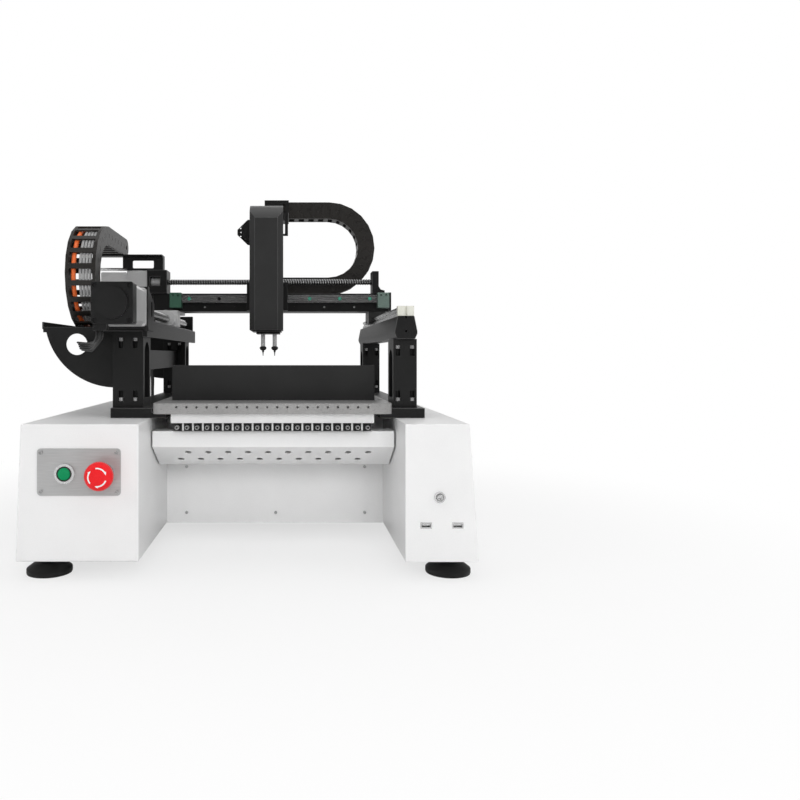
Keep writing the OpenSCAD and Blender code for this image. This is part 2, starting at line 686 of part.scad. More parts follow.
// Stepped rails on the towers: the posts stand on the pads, the table on the ledges
lr_x0 = lp_x0;
lr_x1 = table_x0 + 14.4;
rr_x0 = table_x1 - 13.6;
rr_x1 = xr_in + 44.8;
br_y0 = y_front + 95;
br_y1 = post_y[1] + post_d + 15;
function rail_bolts(side) = [for (y = [br_y0 + 8, (br_y0 + br_y1) / 2, br_y1 - 8])
  [side < 0 ? xl_in - 8 : xr_in + 8, y]];
module base_rails() color("#1d1d1f") difference() {
  union() {
    along_y(br_y0, br_y1) polygon([[lr_x0, base_z1], [lr_x1, base_z1], [lr_x1, table_z0],
      [xl_in + 0.7, table_z0], [xl_in + 0.7, post_z0], [lr_x0, post_z0]]);
    along_y(br_y0, br_y1) polygon([[rr_x0, base_z1], [rr_x1, base_z1], [rr_x1, post_z0],
      [table_x1 + 1.4, post_z0], [table_x1 + 1.4, table_z0], [rr_x0, table_z0]]);
  }
  for (s = [-1, 1], p = rail_bolts(s)) {
    rod_z(p[0], p[1], base_z1 - 1, post_z0 + 1, 5.5);
    rod_z(p[0], p[1], post_z0 - 5.5, post_z0 + 1, 9.5);
  }
  for (p = post_bolts()) rod_z(p[0], p[1], base_z1 + 5, post_z0 + 1, 5 + 2 * flush);
  for (p = table_bolts()) rod_z(p[0], p[1], base_z1 - 1, table_z0 + 1, 5 + 2 * flush);
}

// ---------- posts and bridges ----------

function post_x() = [(lp_x0 + lp_x1) / 2, (rp_x0 + rp_x1) / 2];
function post_bolts() = [for (x = post_x(), y = post_y, s = [-1, 1])
  [x + s * bolt_dx, y + bolt_set]];
module post(x0, x1, y0, z1, pocket) {
  r = post_d / 2 - 10;
  yc = y0 + post_d / 2;
  xc = (x0 + x1) / 2;
  difference() {
    bx(x0, x1, y0, y0 + post_d, post_z0, z1);
    for (x = [[x0 - 1, x0 + pocket], [x1 - pocket, x1 + 1]]) along_x(x[0], x[1]) {
      translate([yc - r, post_z0 + 14]) square([2 * r, z1 - post_z0 - 30 - r]);
      translate([yc, z1 - 16 - r]) circle(r);
    }
    for (s = [-1, 1]) {
      rod_z(xc + s * bolt_dx, y0 + bolt_set, post_z0 + bolt_foot, post_z0 + bolt_foot + bolt_notch, 10.5);
      rod_z(xc + s * bolt_dx, y0 + bolt_set, post_z0 - 1, post_z0 + bolt_foot + 1, 5.5);
      rod_z(xc + s * bolt_dx, y0 + bolt_set, z1 - bolt_foot - bolt_notch, z1 - bolt_foot, 10.5);
      rod_z(xc + s * bolt_dx, y0 + bolt_set, z1 - bolt_foot - 1, z1 + 1, 5.5);
    }
  }
}
module posts() color("#1b1b1d") {
  for (y = post_y) {
    post(lp_x0, lp_x1, y, lb_z0, 15);
    post(rp_x0, rp_x1, y, rb_z0, 11);
  }
  bx(post_x()[0] - 4, post_x()[0] + 4, post_y[0] + post_d, post_y[1], tie_z[0], tie_z[1]);
}
module left_bridge() color("#232325") difference() {
  along_y(bridge_y0, bridge_y1) polygon([[lb_x0, lb_z0], [lb_x1 - 7.5, lb_z0],
    [lb_x1 - 7.5, lb_z0 - 8.7], [lb_x1, lb_z0 - 8.7], [lb_x1, guide_z - 1], [lb_x1 - 1, guide_z],
    [lb_x0, guide_z]]);
  for (p = post_bolts()) if (p[0] < 0) rod_z(p[0], p[1], lb_z0 - 1, lb_z0 + 9, 5 + 2 * flush);
}
module right_bridge() color("#232325") difference() {
  along_y(bridge_y0, bridge_y1) polygon([[rb_x - 12.7, rb_z1], [rb_x + 12.7, rb_z1],
    [rb_x + 17.3, rb_z1 - 23], [rb_x + 17.3, rb_z1 - 27], [rb_x + 14, rb_z0],
    [rb_x - 14, rb_z0], [rb_x - 17.3, rb_z1 - 27], [rb_x - 17.3, rb_z1 - 23]]);
  for (p = post_bolts()) if (p[0] > 0) rod_z(p[0], p[1], rb_z0 - 1, rb_z0 + 9, 5 + 2 * flush);
  for (z = [rb_z1 - 2, rb_z1 - 23]) rod_y(rb_x, z, bridge_y0 - 1, bridge_y0 + 12, 3.3);
}
module y_rails() color("#b8babd") {
  translate([lrail_x, rail_y0, guide_z]) guide_rail(rail_y1 - rail_y0);
  translate([rb_x, rail_y0, rb_z1]) guide_rail(rail_y1 - rail_y0);
}
module rail_stop() color("#e6e4dc") difference() {
  bx(rb_x - 12.5, rb_x + 12.5, bridge_y0 + 2, bridge_y0 + 13, rb_z1, rb_z1 + 15.5);
  bx(rb_x - 1.6, rb_x + 1.6, bridge_y0 + 1, bridge_y0 + 5, rb_z1 - 1, rb_z1 + 17);
}

// ---------- Y drive ----------

// Square motor body with cut corners, along +Y
module motor_block(w, cut, y0, y1) {
  h = w / 2;
  along_y(y0, y1) polygon([[-h + cut, -h], [h - cut, -h], [h, -h + cut], [h, h - cut],
    [h - cut, h], [-h + cut, h], [-h, h - cut], [-h, -h + cut]]);
}
module y_motor() color("#2a2a2d") translate([ys_x, 0, ys_z]) {
  difference() {
    union() {
      motor_block(y_motor_w, 2, ym_cap_y0, ym_y0);
      motor_block(y_motor_w - 1, 6, ym_y0 - 1, ym_y1 + 1);
      motor_block(y_motor_w, 3, ym_y1, ym_face);
      rod_y(0, 0, ym_face - 1, ym_face + 1.6, 38.1);
      rod_y(0, 0, ym_face, ym_face + 24, shaft_d);
      rod_y(0, 0, ym_cap_y0 - 4, ym_cap_y0 + 1, 44);
      bx(-y_motor_w / 2 + 2, -y_motor_w / 2 + 20, ym_cap_y0 + 2, ym_cap_y0 + 16,
        -y_motor_w / 2 - 9, -y_motor_w / 2 + 1);
    }
    for (sx = [-1, 1], sz = [-1, 1])
      rod_y(sx * 23.6, sz * 23.6, ym_cap_y0 - 1, ym_cap_y0 + 3, 7);
  }
}
// The motor's lead, from its plug through the tray bracket's hole and back to the base
plug = [ys_x - 19.5, ym_cap_y0 + 9, ys_z - y_motor_w / 2 - 9.1];
eye = [lp_x0 - 50, tray_y0 + 1.5, tray_z1 - 31];
drop = [lp_x0 - 41, tray_y1 - 37, base_z1 + 0.3];
lead_pts = [plug, plug + [0, 0, -8], plug + [-6, 8, -14], plug + [-18, 34, -20],
  plug + [-34, 72, -22], eye + [7, -48, 0], eye, eye + [-4, 50, 2], eye + [-4, 145, 4],
  [eye[0] - 4, drop[1] - 150, eye[2] + 4], [eye[0] - 2, drop[1] - 56, eye[2]],
  drop + [-4, -18, 88], drop + [0, -3, 52], drop + [0, 0, 20], drop];
lead_d = 7;
module y_motor_lead() color("#101012") tube(lead_pts, lead_d);
module y_screw_mounts() color("#1d1d20") {
  hw = 30.5;
  difference() {
    union() {
      bx(ys_x - hw, ys_x + hw, mount_y0, mount_y0 + mount_t, ys_z - hw, ys_z + hw);
      for (s = [-1, 1]) {
        z0 = s < 0 ? guide_z : lb_z0;
        x0 = s < 0 ? ys_x - hw : lb_x1;
        x1 = s < 0 ? ys_x - hw + 5 : ys_x + hw;
        along_x(x0, x1) polygon([[mount_y0 + 1, z0], [mount_y1, z0], [mount_y1, ys_z + 8],
          [mount_y0 + 1, ys_z + hw]]);
      }
    }
    rod_y(ys_x, ys_z, mount_y0 - 1, mount_y0 + mount_t + 1, 38.1 + 2 * flush);
    along_x(ys_x - hw - 1, ys_x + hw + 1) {
      translate([mount_y0 + 24, guide_z + 8]) square([10, 14]);
      translate([mount_y0 + 29, guide_z + 22]) circle(5);
      translate([mount_y0 + 29, guide_z + 8]) circle(5);
    }
  }
  difference() {
    bx(ys_x - 19, ys_x + 19, front_brg[0], front_brg[1], guide_z, ys_z + 17);
    rod_y(ys_x, ys_z, front_brg[0] - 1, front_brg[1] + 1, journal_d + 2 * run_gap);
    rod_y(ys_x, ys_z, front_brg[0] - 1, front_brg[0] + 3, 24);
  }
  difference() {
    bx(ys_x - 19, ys_x + 19, rear_brg[0], rear_brg[1], guide_z, ys_z + 17);
    rod_y(ys_x, ys_z, rear_brg[0] - 1, rear_brg[1] + 1, journal_d + 2 * run_gap);
    rod_y(ys_x, ys_z, rear_brg[1] - 3, rear_brg[1] + 1, 24);
  }
}
module y_screw() color("#c4c6c9") {
  rod_y(ys_x, ys_z, front_brg[1] + 0.5, rear_brg[0] - 0.5, y_screw_d);
  rod_y(ys_x, ys_z, front_brg[0] - 16, front_brg[1] + 1, journal_d);
  rod_y(ys_x, ys_z, rear_brg[0] - 1, rear_brg[1], journal_d);
  y0 = ym_face + 12;
  y1 = front_brg[0] - 4;
  difference() {
    rod_y(ys_x, ys_z, y0, y1, coupler_d);
    rod_y(ys_x, ys_z, y0 - 1, y0 + 15, shaft_d + 2 * run_gap);
    for (i = [-1, 1]) translate([ys_x - coupler_d, (y0 + y1) / 2 + 3 * i, ys_z - coupler_d + 3 * i])
      cube([2 * coupler_d, 1.2, coupler_d - 1]);
  }
}

// Shelf for the Y chain, on two brackets that are quarter rounds with a cable hole
module chain_tray() color("#19191b") {
  x0 = tray_x0();
  path = [[x0, tray_z1 + 8], [x0, tray_z1 - tray_t], [lb_x0, tray_z1 - tray_t]];
  along_y(tray_y0, tray_y1) union() {
    bent_sheet([path[0], path[1], path[2]], tray_t - 0.5);
    translate([x0 + 1, tray_z1 - tray_t]) square([lb_x0 - x0 - 1, tray_t]);
  }
  for (y = [tray_y0, tray_y1 - tray_t]) {
    along_y(y, y + tray_t) difference() {
      union() {
        intersection() {
          translate([lp_x0, tray_z1 - tray_t + 20]) circle(gusset_r + 6.5);
          translate([x0, 0]) square([lp_x0 - x0, lb_z0]);
        }
        translate([x0 + 1.5, lb_z0 - 1]) square([lb_x0 - x0 - 2, tray_z1 - tray_t - lb_z0 + 1.5]);
      }
      translate([lp_x0 - 61, tray_z1 - 27]) circle(d = gusset_hole);
    }
    bx(lp_x0 - tray_t, lp_x0, y, y + 20, lb_z0 - 76, lb_z0);
  }
}

// ---------- Y chain ----------

y_low_pts = [for (i = [y_low_n:-1:0]) [yc_y + i * y_pitch, yc_z0]];
y_bend_pts = [for (i = [0:y_bend_n]) bend_point(yc_y, yc_z, -1, y_bend_n, i)];
y_up_pts = [for (i = [0:y_up_n]) [yc_y + i * y_pitch, yc_z0 + 2 * chain_r]];
module y_chain_lower() color("#141416") y_links(y_low_pts);
module y_chain_bend() color("#141416") y_links(y_bend_pts);
module y_chain_upper() color("#141416") y_links(y_up_pts);
// A cable laid against the outer bars: a straight run, the half turn and another run
module chain_cable(dx, d) {
  r = chain_r * cos(90 / y_bend_n) + link_h / 2 - 3 - slip - d / 2;
  low = y_low_n * y_pitch + 10;
  high = y_up_n * y_pitch + 10;
  x = yc_x + dx;
  tube(concat(
    [for (i = [5:-1:1]) [x, yc_y + low * i / 5, yc_z - r]],
    [for (a = [0:9:180]) [x, yc_y - r * sin(a), yc_z - r * cos(a)]],
    [for (i = [1:7]) [x, yc_y + high * i / 7, yc_z + r]]), d);
}
cable_span = y_chain_w / 2 - 2 * link_t - link_gap;
module y_chain_cables() color("#e0662c") {
  chain_cable(-cable_span + 7, 8);
  for (i = [0:3]) chain_cable(-cable_span + 19 + 5.6 * i, 5);
}

// ---------- beam, moving in Y ----------

module y_carriages() color("#3a3b3e") {
  yc = beam_y0 + beam_d / 2;
  translate([lrail_x, yc, guide_z]) guide_carriage(carriage_l);
  translate([rb_x, yc, rb_z1]) guide_carriage(carriage_l);
}
module y_nut() color("#c9cacc") {
  ny0 = beam_y0 - 42;
  top = guide_z + stack_h;
  bx(lb_x0, ys_x + 22, ny0, beam_y1 + 2, top, top + saddle_t);
  difference() {
    bx(ys_x - 22, ys_x + 22, ny0, ny0 + 32, guide_z + 1.3, top);
    rod_y(ys_x, ys_z, ny0 - 1, ny0 + 33, nut_d);
  }
  difference() {
    union() {
      rod_y(ys_x, ys_z, ny0, ny0 + 40, nut_d);
      intersection() {
        rod_y(ys_x, ys_z, ny0 - 8, ny0, 34);
        bx(ys_x - 20, ys_x + 20, ny0 - 9, ny0 + 1, guide_z + 1.3, ys_z + 20);
      }
    }
    rod_y(ys_x, ys_z, ny0 - 9, ny0 + 41, y_screw_d + 2 * run_gap);
  }
}
module x_beam() color("#202022") {
  wall = 4.5;
  difference() {
    bx(beam_x0, beam_x1, beam_y0, beam_y1, beam_z0, beam_z1);
    for (s = [0, 1]) bx(beam_x0 - 1, beam_x1 + 1,
      beam_y0 + wall + s * (beam_d - wall) / 2, beam_y0 + (s + 1) * (beam_d - wall) / 2,
      beam_z0 + wall, beam_z1 - wall);
    for (x = [xrail_x0 + 60:60:xrail_x1 - 30]) rod_y(x, beam_z0 + 9, beam_y0 - 1, beam_y0 + 3, 4);
  }
  bx(beam_x0 - end_t, beam_x0, beam_y0 - 2, beam_y1, beam_z0, beam_z1);
  bx(beam_x1, beam_x1 + end_t, beam_y0 - 4, beam_y1, beam_z0, beam_z1 + 2);
}
module x_rail() color("#c6c8ca")
  translate([xrail_x0, beam_y0, xrail_z]) rotate([90, 0, 0]) rotate([0, 0, -90])
    guide_rail(xrail_x1 - xrail_x0);
module x_end_stops() color("#5f9480") for (x = [lstop_x0, rstop_x0]) difference() {
  bx(x, x + stop_w, beam_y0 - stop_d, beam_y0, xrail_z - 18.5, xrail_z - 18.5 + stop_h);
  bx(xrail_x0 - slip, xrail_x1 + slip, beam_y0 - rail_h - slip, beam_y0 + 1,
    xrail_z - rail_w / 2 - slip, xrail_z + rail_w / 2 + slip);
  for (s = [-1, 1]) rod_y(x + stop_w / 2 + 5 * s, xrail_z + 6, beam_y0 - stop_d - 1,
    beam_y0 - stop_d + 5, 4.2);
}
module x_motor() color("#c8c9cc") difference() {
  translate([0, xs_y, xs_z]) rotate([0, 0, -90]) {
    motor_block(x_motor_w, 4.5, xm_x0 + 9, xbl[0] - 9);
    motor_block(x_motor_w, 2, xm_x0, xm_x0 + 9.5);
    motor_block(x_motor_w, 2, xbl[0] - 9.5, xbl[0]);
    rod_y(0, 0, xbl[0] - 1, xbl[0] + 1.8, 22);
    rod_y(0, 0, xbl[0], xbl[0] + 14, x_shaft_d);
  }
}
module x_bearings() color("#1f1f22") {
  z0 = beam_z1;
  difference() {
    bx(xbl[0], xbl[1], xs_y - 22, xs_y + 22, z0, z0 + xbrg_h);
    rod_x(xs_y, xs_z, xbl[0] - 1, xbl[1] - 10, 26);
    rod_x(xs_y, xs_z, xbl[1] - 11, xbl[1] + 1, x_journal_d + 2 * run_gap);
    bx(xbl[0] + 6, xbl[1] - 14, xs_y - 23, xs_y - 8, xs_z - 9, xs_z + 9);
  }
  difference() {
    union() {
      bx(xbr[0], xbr[1], xs_y - 18, xs_y + 18, z0, z0 + xbrg_h - 2);
      along_y(xs_y - 18, xs_y + 18) polygon([[xbr[1] - 1, z0], [xbr[1] + 12, z0],
        [xbr[1] + 12, z0 + 6], [xbr[1] + 4, z0 + 8], [xbr[1] - 1, z0 + 16]]);
    }
    rod_x(xs_y, xs_z, xbr[0] - 1, xbr[1] + 1, x_journal_d + 2 * run_gap);
    rod_x(xs_y, xs_z, xbr[1] - 3, xbr[1] + 1, 20);
  }
}
module x_screw() color("#c4c6c9") {
  rod_x(xs_y, xs_z, xbl[1] + 0.5, xbr[0] - 0.5, x_screw_d);
  rod_x(xs_y, xs_z, xbl[1] - 20, xbl[1] + 1, x_journal_d);
  rod_x(xs_y, xs_z, xbr[0] - 1, xbr[1], x_journal_d);
  x0 = xbl[0] + 6;
  x1 = xbl[1] - 12;
  difference() {
    rod_x(xs_y, xs_z, x0, x1, 19);
    rod_x(xs_y, xs_z, x0 - 1, x0 + 9.5, x_shaft_d + 2 * run_gap);
  }
}
// Slotted bracket that carries the Y chain's moving end, and the X chain's shelf
module chain_supports() color("#19191b") {
  z1 = yc_z0 + 2 * chain_r - link_h / 2;
  z0 = beam_z1 + xbrg_h;
  y_end = yc_y + y_up_n * y_pitch;
  x0 = xm_x0 - 11;
  x1 = xbl[1] - 10;
  yp = xs_y - 10;
  difference() {
    union() {
      bx(x0, x1, yp, yp + 3, z0, z1);
      bx(yc_x - y_chain_w / 2, x1, y_end - y_pitch, max(y_end, yp + 3), z1 - 3, z1);
      bx(x1 - 3, x1, yp, yp + 22, z0, z1);
    }
    slab_y(x0 + 20, x1 - 18.5, yp - 1, yp + 4, z0 + 4.6, z1 - 11, 2.5);
  }
  tx0 = xc_x - x_low_n * x_pitch - 10;
  bx(tx0, beam_x1, beam_y1 - 20, xc_y + x_chain_w / 2 + 2, beam_z1, beam_z1 + tray_t);
  bx(tx0, beam_x1, beam_y1, beam_y1 + 3, beam_z0 + 8, beam_z1 + 1);
}

// ---------- X chain ----------

x_low_pts = [for (i = [x_low_n:-1:0]) [xc_x - i * x_pitch, xc_z0]];
x_bend_pts = [for (i = [0:x_bend_n]) bend_point(xc_x, xc_z, 1, x_bend_n, i)];
x_up_pts = [for (i = [0:x_up_n]) [xc_x - i * x_pitch, xc_z0 + 2 * chain_r]];
module x_chain_lower() color("#161618") x_links(x_low_pts);
module x_chain_bend() color("#161618") x_links(x_bend_pts);
module x_chain_upper() color("#161618") x_links(x_up_pts);

// ---------- head, moving in X ----------

module x_carriage() color("#3a3b3e")
  translate([head_x + 3, beam_y0, xrail_z]) rotate([90, 0, 0]) rotate([0, 0, -90])
    guide_carriage(carriage_l);
module head_plate() color("#26272a") {
  nut_x = head_x - 16;
  difference() {
    bx(head_x - 40.3, head_x + 40.3, saddle_y0, saddle_y0 + 10, xrail_z - 25, xrail_z + 30);
    for (sx = [-1, 1], sz = [-1, 1])
      rod_y(head_x + 3 + 13 * sx, xrail_z + 13 * sz, saddle_y0 - 1, saddle_y0 + 11, 4.5);
  }
  difference() {
    union() {
      bx(nut_x, nut_x + 32, saddle_y0 + 10, xs_y + 18, beam_z1 + 9, xs_z + 15.5);
      bx(nut_x, nut_x + 32, saddle_y0 + 2, saddle_y0 + 12, xrail_z + 29, xs_z + 15.5);
    }
    rod_x(xs_y, xs_z, nut_x - 1, nut_x + 33, nut_d + 2);
  }
  difference() {
    union() {
      rod_x(xs_y, xs_z, nut_x - 4, nut_x + 32, nut_d + 2);
      rod_x(xs_y, xs_z, nut_x - 9, nut_x - 3, 34);
    }
    rod_x(xs_y, xs_z, nut_x - 10, nut_x + 34, x_screw_d + 2 * run_gap);
  }
  // back plate with its two vertical rails
  difference() {
    union() {
      bx(head_x - plate_w / 2, head_x + plate_w / 2, plate_y0, saddle_y0, cover_z, cover_z + 232);
      for (s = [-1, 1])
        bx(nozzle_x + s * nozzle_pitch / 2 - 3.5, nozzle_x + s * nozzle_pitch / 2 + 3.5,
          plate_y0 - 5, plate_y0 + 0.5, cover_z + 34, cover_z + 112);
    }
    rod_y(nozzle_x, pulley_z, plate_y0 - 1, saddle_y0 + 1, 6 + 2 * run_gap);
    rod_y(nozzle_x, idler_z, plate_y0 - 1, saddle_y0 + 1, 6 + 2 * run_gap);
  }
  // guard of the nozzle drive, on a spacer behind the back plate
  y0 = saddle_y0 + 12;
  difference() {
    union() {
      along_y(y0, y0 + 3) {
        intersection() {
          polygon([[zm_x - 26.5, zm_z - 5], [zm_x - 26.5, zm_z + 5], [zm_x - 6, zm_z + 25],
            [zm_x + 45, zm_z + 25], [zm_x + 45, zm_z - 25], [zm_x - 6, zm_z - 25]]);
          translate([zm_x + 6, zm_z]) circle(38);
        }
      }
      bx(zm_x + 22, zm_x + 45, saddle_y0, y0 + 1, zm_z - 24, zm_z + 20);
    }
    rod_y(nozzle_x, pulley_z, saddle_y0 - 1, y0 + 4, 7);
    for (z = [-8, 0, 8]) rod_y(zm_x - 19 - abs(z) / 8, zm_z + z, y0 - 1, y0 + 4, 3);
  }
}
module chain_arm() color("#1b1b1d") {
  z0 = xc_z0 + 2 * chain_r - link_h / 2;
  end_x = xc_x - x_up_n * x_pitch;
  x0 = end_x - 31;
  x1 = end_x + 19;
  yf = xc_y - x_chain_w / 2 - 3.3;
  yr = xc_y + x_chain_w / 2;
  bx(x0, x1, saddle_y0, yr, z0 - 4, z0);
  difference() {
    bx(x0, x1, yf, yf + 3, z0 - 1, z0 + link_h + 3);
    slab_y(x1 - 12, x1 - 7, yf - 1, yf + 4, z0 + 8, z0 + 30, 2.4);
  }
  bx(x0, x1, yf, yr, z0 + link_h + 0.4, z0 + link_h + 3.4);
  bx(head_x + 4, x1 - 8, saddle_y0, saddle_y0 + 3, z0 - 19, z0 - 3);
  bx(head_x + 34.6, head_x + 40.6, saddle_y0, saddle_y0 + 3, z0 - 49, z0 - 3);
  bx(head_x + 24, head_x + 40.6, saddle_y0, saddle_y0 + 3, z0 - 49, z0 - 45);
}

// Outline of the head cover in plan, and its side view with the rounded brow
module cover_plan(t) {
  w = cover_w / 2 - t;
  c = cover_chamfer - 0.586 * t;
  y0 = cover_y0 + t;
  y1 = t > 0 ? cover_y1 + 1 : cover_y1;
  polygon([[head_x - w, y1], [head_x - w, y0 + c], [head_x - w + c, y0],
    [head_x + w - c, y0], [head_x + w, y0 + c], [head_x + w, y1]]);
}
module cover_side(t) {
  yc = cover_y0 + 56.7;
  z1 = cover_z1 - t;
  z0 = cover_z - (t > 0 ? 1 : 0);
  intersection() {
    union() {
      translate([cover_y0, z0]) square([90, z1 - cover_crease + t - z0]);
      translate([yc, cover_z1 - brow_r]) circle(brow_r - t);
      translate([yc, z0]) square([40, z1 - z0]);
    }
    translate([cover_y0, z0]) square([90, z1 - z0]);
  }
}
module cover_solid(t) {
  intersection() {
    translate([0, 0, cover_z - 2]) linear_extrude(260) cover_plan(t);
    along_x(head_x - cover_w, head_x + cover_w) cover_side(t);
  }
}
module head_cover() color("#2e2f32") difference() {
  cover_solid(0);
  cover_solid(cover_t);
}
module nozzle_guide() color("#1a1a1c") difference() {
  union() {
    bx(head_x - 26.8, head_x + 28.5, cover_y0 + 3, plate_y0 + 6, cover_z - 3, cover_z);
    bx(head_x - 18.8, head_x + 25.8, cover_y0 + 10, cover_y0 + 62, cover_z - 7, cover_z - 2.5);
  }
  for (s = [-1, 1]) rod_z(nozzle_x + s * nozzle_pitch / 2, nozzle_y, cover_z - 8, cover_z + 1,
    spindle_d + 0.8);
}
module z_motor() color("#8a8c90") {
  rod_y(zm_x, zm_z, saddle_y0 + 0.4, saddle_y0 + 12, zm_d);
  rod_y(zm_x, zm_z, saddle_y0 + 15, saddle_y0 + 27, zm_d - 8);
}

// Belt drive of the nozzles: one slide hangs on each side of the belt
module wheel(z, y_end) {
  difference() {
    union() {
      rod_y(nozzle_x, z, belt_y, belt_y + belt_w + 0.6, 2 * (pulley_r - belt_t / 2 - 0.2));
      rod_y(nozzle_x, z, belt_y - 1.2, belt_y - 0.2, 2 * pulley_r + 2);
      rod_y(nozzle_x, z, belt_y - 1.2, belt_y + 1, 16);
      rod_y(nozzle_x, z, belt_y - 1.2, y_end, 6);
    }
    rod_y(nozzle_x, z, belt_y - 2, belt_y + 4, 3);
  }
}
module z_pulley() color("#b4b6b9") wheel(pulley_z, saddle_y0 + 14);
module z_idler() color("#b4b6b9") wheel(idler_z, saddle_y0 - 0.3);
module z_belt() color("#121214") along_y(belt_y, belt_y + belt_w) difference() {
  belt_outline(pulley_r + belt_t / 2);
  belt_outline(pulley_r - belt_t / 2);
}
module belt_outline(r) {
  for (z = [idler_z, pulley_z]) translate([nozzle_x, z]) circle(r);
  translate([nozzle_x - r, idler_z]) square([2 * r, pulley_z - idler_z]);
}

// Nozzle slide: rail block, spindle bearing and hollow-shaft motor
module nozzle_slide(s) {
  x = nozzle_x + s * nozzle_pitch / 2;
  difference() {
    bx(x - slide_w / 2, x + slide_w / 2, nozzle_y - 12, plate_y0 - 3.5, slide_z[0], slide_z[1]);
    rod_z(x, nozzle_y, slide_z[0] - 1, slide_z[1] + 1, spindle_d + 2 * run_gap);
    bx(x - belt_t / 2 - 0.6, x + belt_t / 2 + 0.6, belt_y - 0.6, belt_y + belt_w + 0.6,
      slide_z[0] - 1, slide_z[1] + 1);
    bx(x - 3.9, x + 3.9, plate_y0 - 5.4, plate_y0, slide_z[0] - 1, slide_z[1] + 1);
  }
  difference() {
    translate([x, nozzle_y, slide_z[1]]) linear_extrude(30) rrect(slide_w + 0.6, 20, 2);
    rod_z(x, nozzle_y, slide_z[1] - 1, slide_z[1] + 31, spindle_d + 2 * run_gap);
  }
}
module nozzle_slide_left() color("#8f9194") nozzle_slide(-1);
module nozzle_slide_right() color("#8f9194") nozzle_slide(1);
module spindle(s) {
  r = spindle_d / 2;
  translate([nozzle_x + s * nozzle_pitch / 2, nozzle_y, tip_z]) rotate_extrude()
    polygon([[0, 0], [0.7, 0], [1.1, 6], [2, 7], [2, 10], [4.2, 10.8], [6.35, 13],
      [6.35, 16.5], [r, 17.5], [r, slide_z[1] + 33 - tip_z], [0, slide_z[1] + 33 - tip_z]]);
}
module spindle_left() color("#a9abae") spindle(-1);
module spindle_right() color("#a9abae") spindle(1);

// ---------- fasteners of the base ----------

module fasteners() color("#b5b7ba") {
  for (p = hatch_screws()) screw_y(p[0], y_recess - 1.5, p[1], 3, 6);
  for (p = plate_screws()) screw_y(p[0], plate_front, p[1], 3, 1.5);
  for (p = post_bolts()) {
    translate([p[0], p[1], post_z0 + bolt_foot]) cap_screw(5, bolt_foot + 9);
    top = p[0] < 0 ? lb_z0 : rb_z0;
    translate([p[0], p[1], top - bolt_foot]) rotate([180, 0, 0]) cap_screw(5, bolt_foot + 8);
  }
  for (p = table_bolts()) translate([p[0], p[1], table_z1 - 6]) cap_screw(5, table_t - 6 + ledge_t);
  for (s = [-1, 1], p = rail_bolts(s)) translate([p[0], p[1], post_z0 - 5.5]) cap_screw(5, 15);
  for (i = [0:lane_n - 1]) translate([lane_x0 + i * lane_pitch, bar_y0 + 5, block_z0 + block_h / 2])
    rotate([-90, 0, 0]) rotate_extrude() polygon([[0, -13], [2.2, -13], [3.1, -12], [3.1, -4],
      [2, -3.4], [2, 10], [0, 10]]);
}

left_tower();
right_tower();
centre_housing();
access_cover();
fasteners();
levelling_feet();
control_plate();
button_bezels();
start_cap();
estop_stem();
estop_head();
power_cap();
usb_ports();
rear_inlet();
feeder_guard();
feeder_bar();
feeder_blocks();
table_plate();
feeder_wall();
board_clamp();
base_rails();
posts();
left_bridge();
right_bridge();
y_rails();
rail_stop();
y_motor();
y_motor_lead();
y_screw_mounts();
y_screw();
chain_tray();
y_chain_lower();
y_chain_bend();
y_chain_upper();
y_chain_cables();
y_carriages();
y_nut();
x_beam();
x_rail();
x_end_stops();
x_motor();
x_bearings();
x_screw();
chain_supports();
x_chain_lower();
x_chain_bend();
x_chain_upper();
x_carriage();
head_plate();
chain_arm();
head_cover();
nozzle_guide();
z_motor();
z_pulley();
z_idler();
z_belt();
nozzle_slide_left();
nozzle_slide_right();
spindle_left();
spindle_right();
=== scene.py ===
import json
import math
import bmesh
import bpy
import numpy as np
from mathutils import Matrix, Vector

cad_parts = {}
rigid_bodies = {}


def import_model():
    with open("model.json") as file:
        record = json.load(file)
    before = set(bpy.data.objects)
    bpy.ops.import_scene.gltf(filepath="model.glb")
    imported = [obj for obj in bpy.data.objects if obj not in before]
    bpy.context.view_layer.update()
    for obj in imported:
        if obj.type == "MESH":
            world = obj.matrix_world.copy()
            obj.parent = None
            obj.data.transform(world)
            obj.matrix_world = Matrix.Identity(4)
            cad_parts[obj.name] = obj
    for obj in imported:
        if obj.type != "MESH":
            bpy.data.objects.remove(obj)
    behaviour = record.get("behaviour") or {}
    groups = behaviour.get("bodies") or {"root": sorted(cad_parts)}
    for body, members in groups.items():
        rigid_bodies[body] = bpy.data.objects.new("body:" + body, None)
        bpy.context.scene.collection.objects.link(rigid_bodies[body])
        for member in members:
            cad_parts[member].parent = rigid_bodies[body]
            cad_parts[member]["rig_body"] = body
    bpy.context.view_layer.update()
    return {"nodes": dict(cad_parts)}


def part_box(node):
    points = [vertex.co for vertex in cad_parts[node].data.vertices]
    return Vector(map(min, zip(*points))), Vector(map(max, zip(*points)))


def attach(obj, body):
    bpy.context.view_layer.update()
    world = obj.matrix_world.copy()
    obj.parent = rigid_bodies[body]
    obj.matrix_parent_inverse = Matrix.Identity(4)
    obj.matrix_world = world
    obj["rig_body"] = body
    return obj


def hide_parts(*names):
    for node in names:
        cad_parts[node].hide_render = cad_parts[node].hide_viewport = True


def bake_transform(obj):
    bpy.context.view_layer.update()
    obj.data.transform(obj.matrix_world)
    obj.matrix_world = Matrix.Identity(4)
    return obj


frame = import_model()
nodes = frame["nodes"]
mm = 0.001
print("frame loaded,", len(nodes), "nodes")

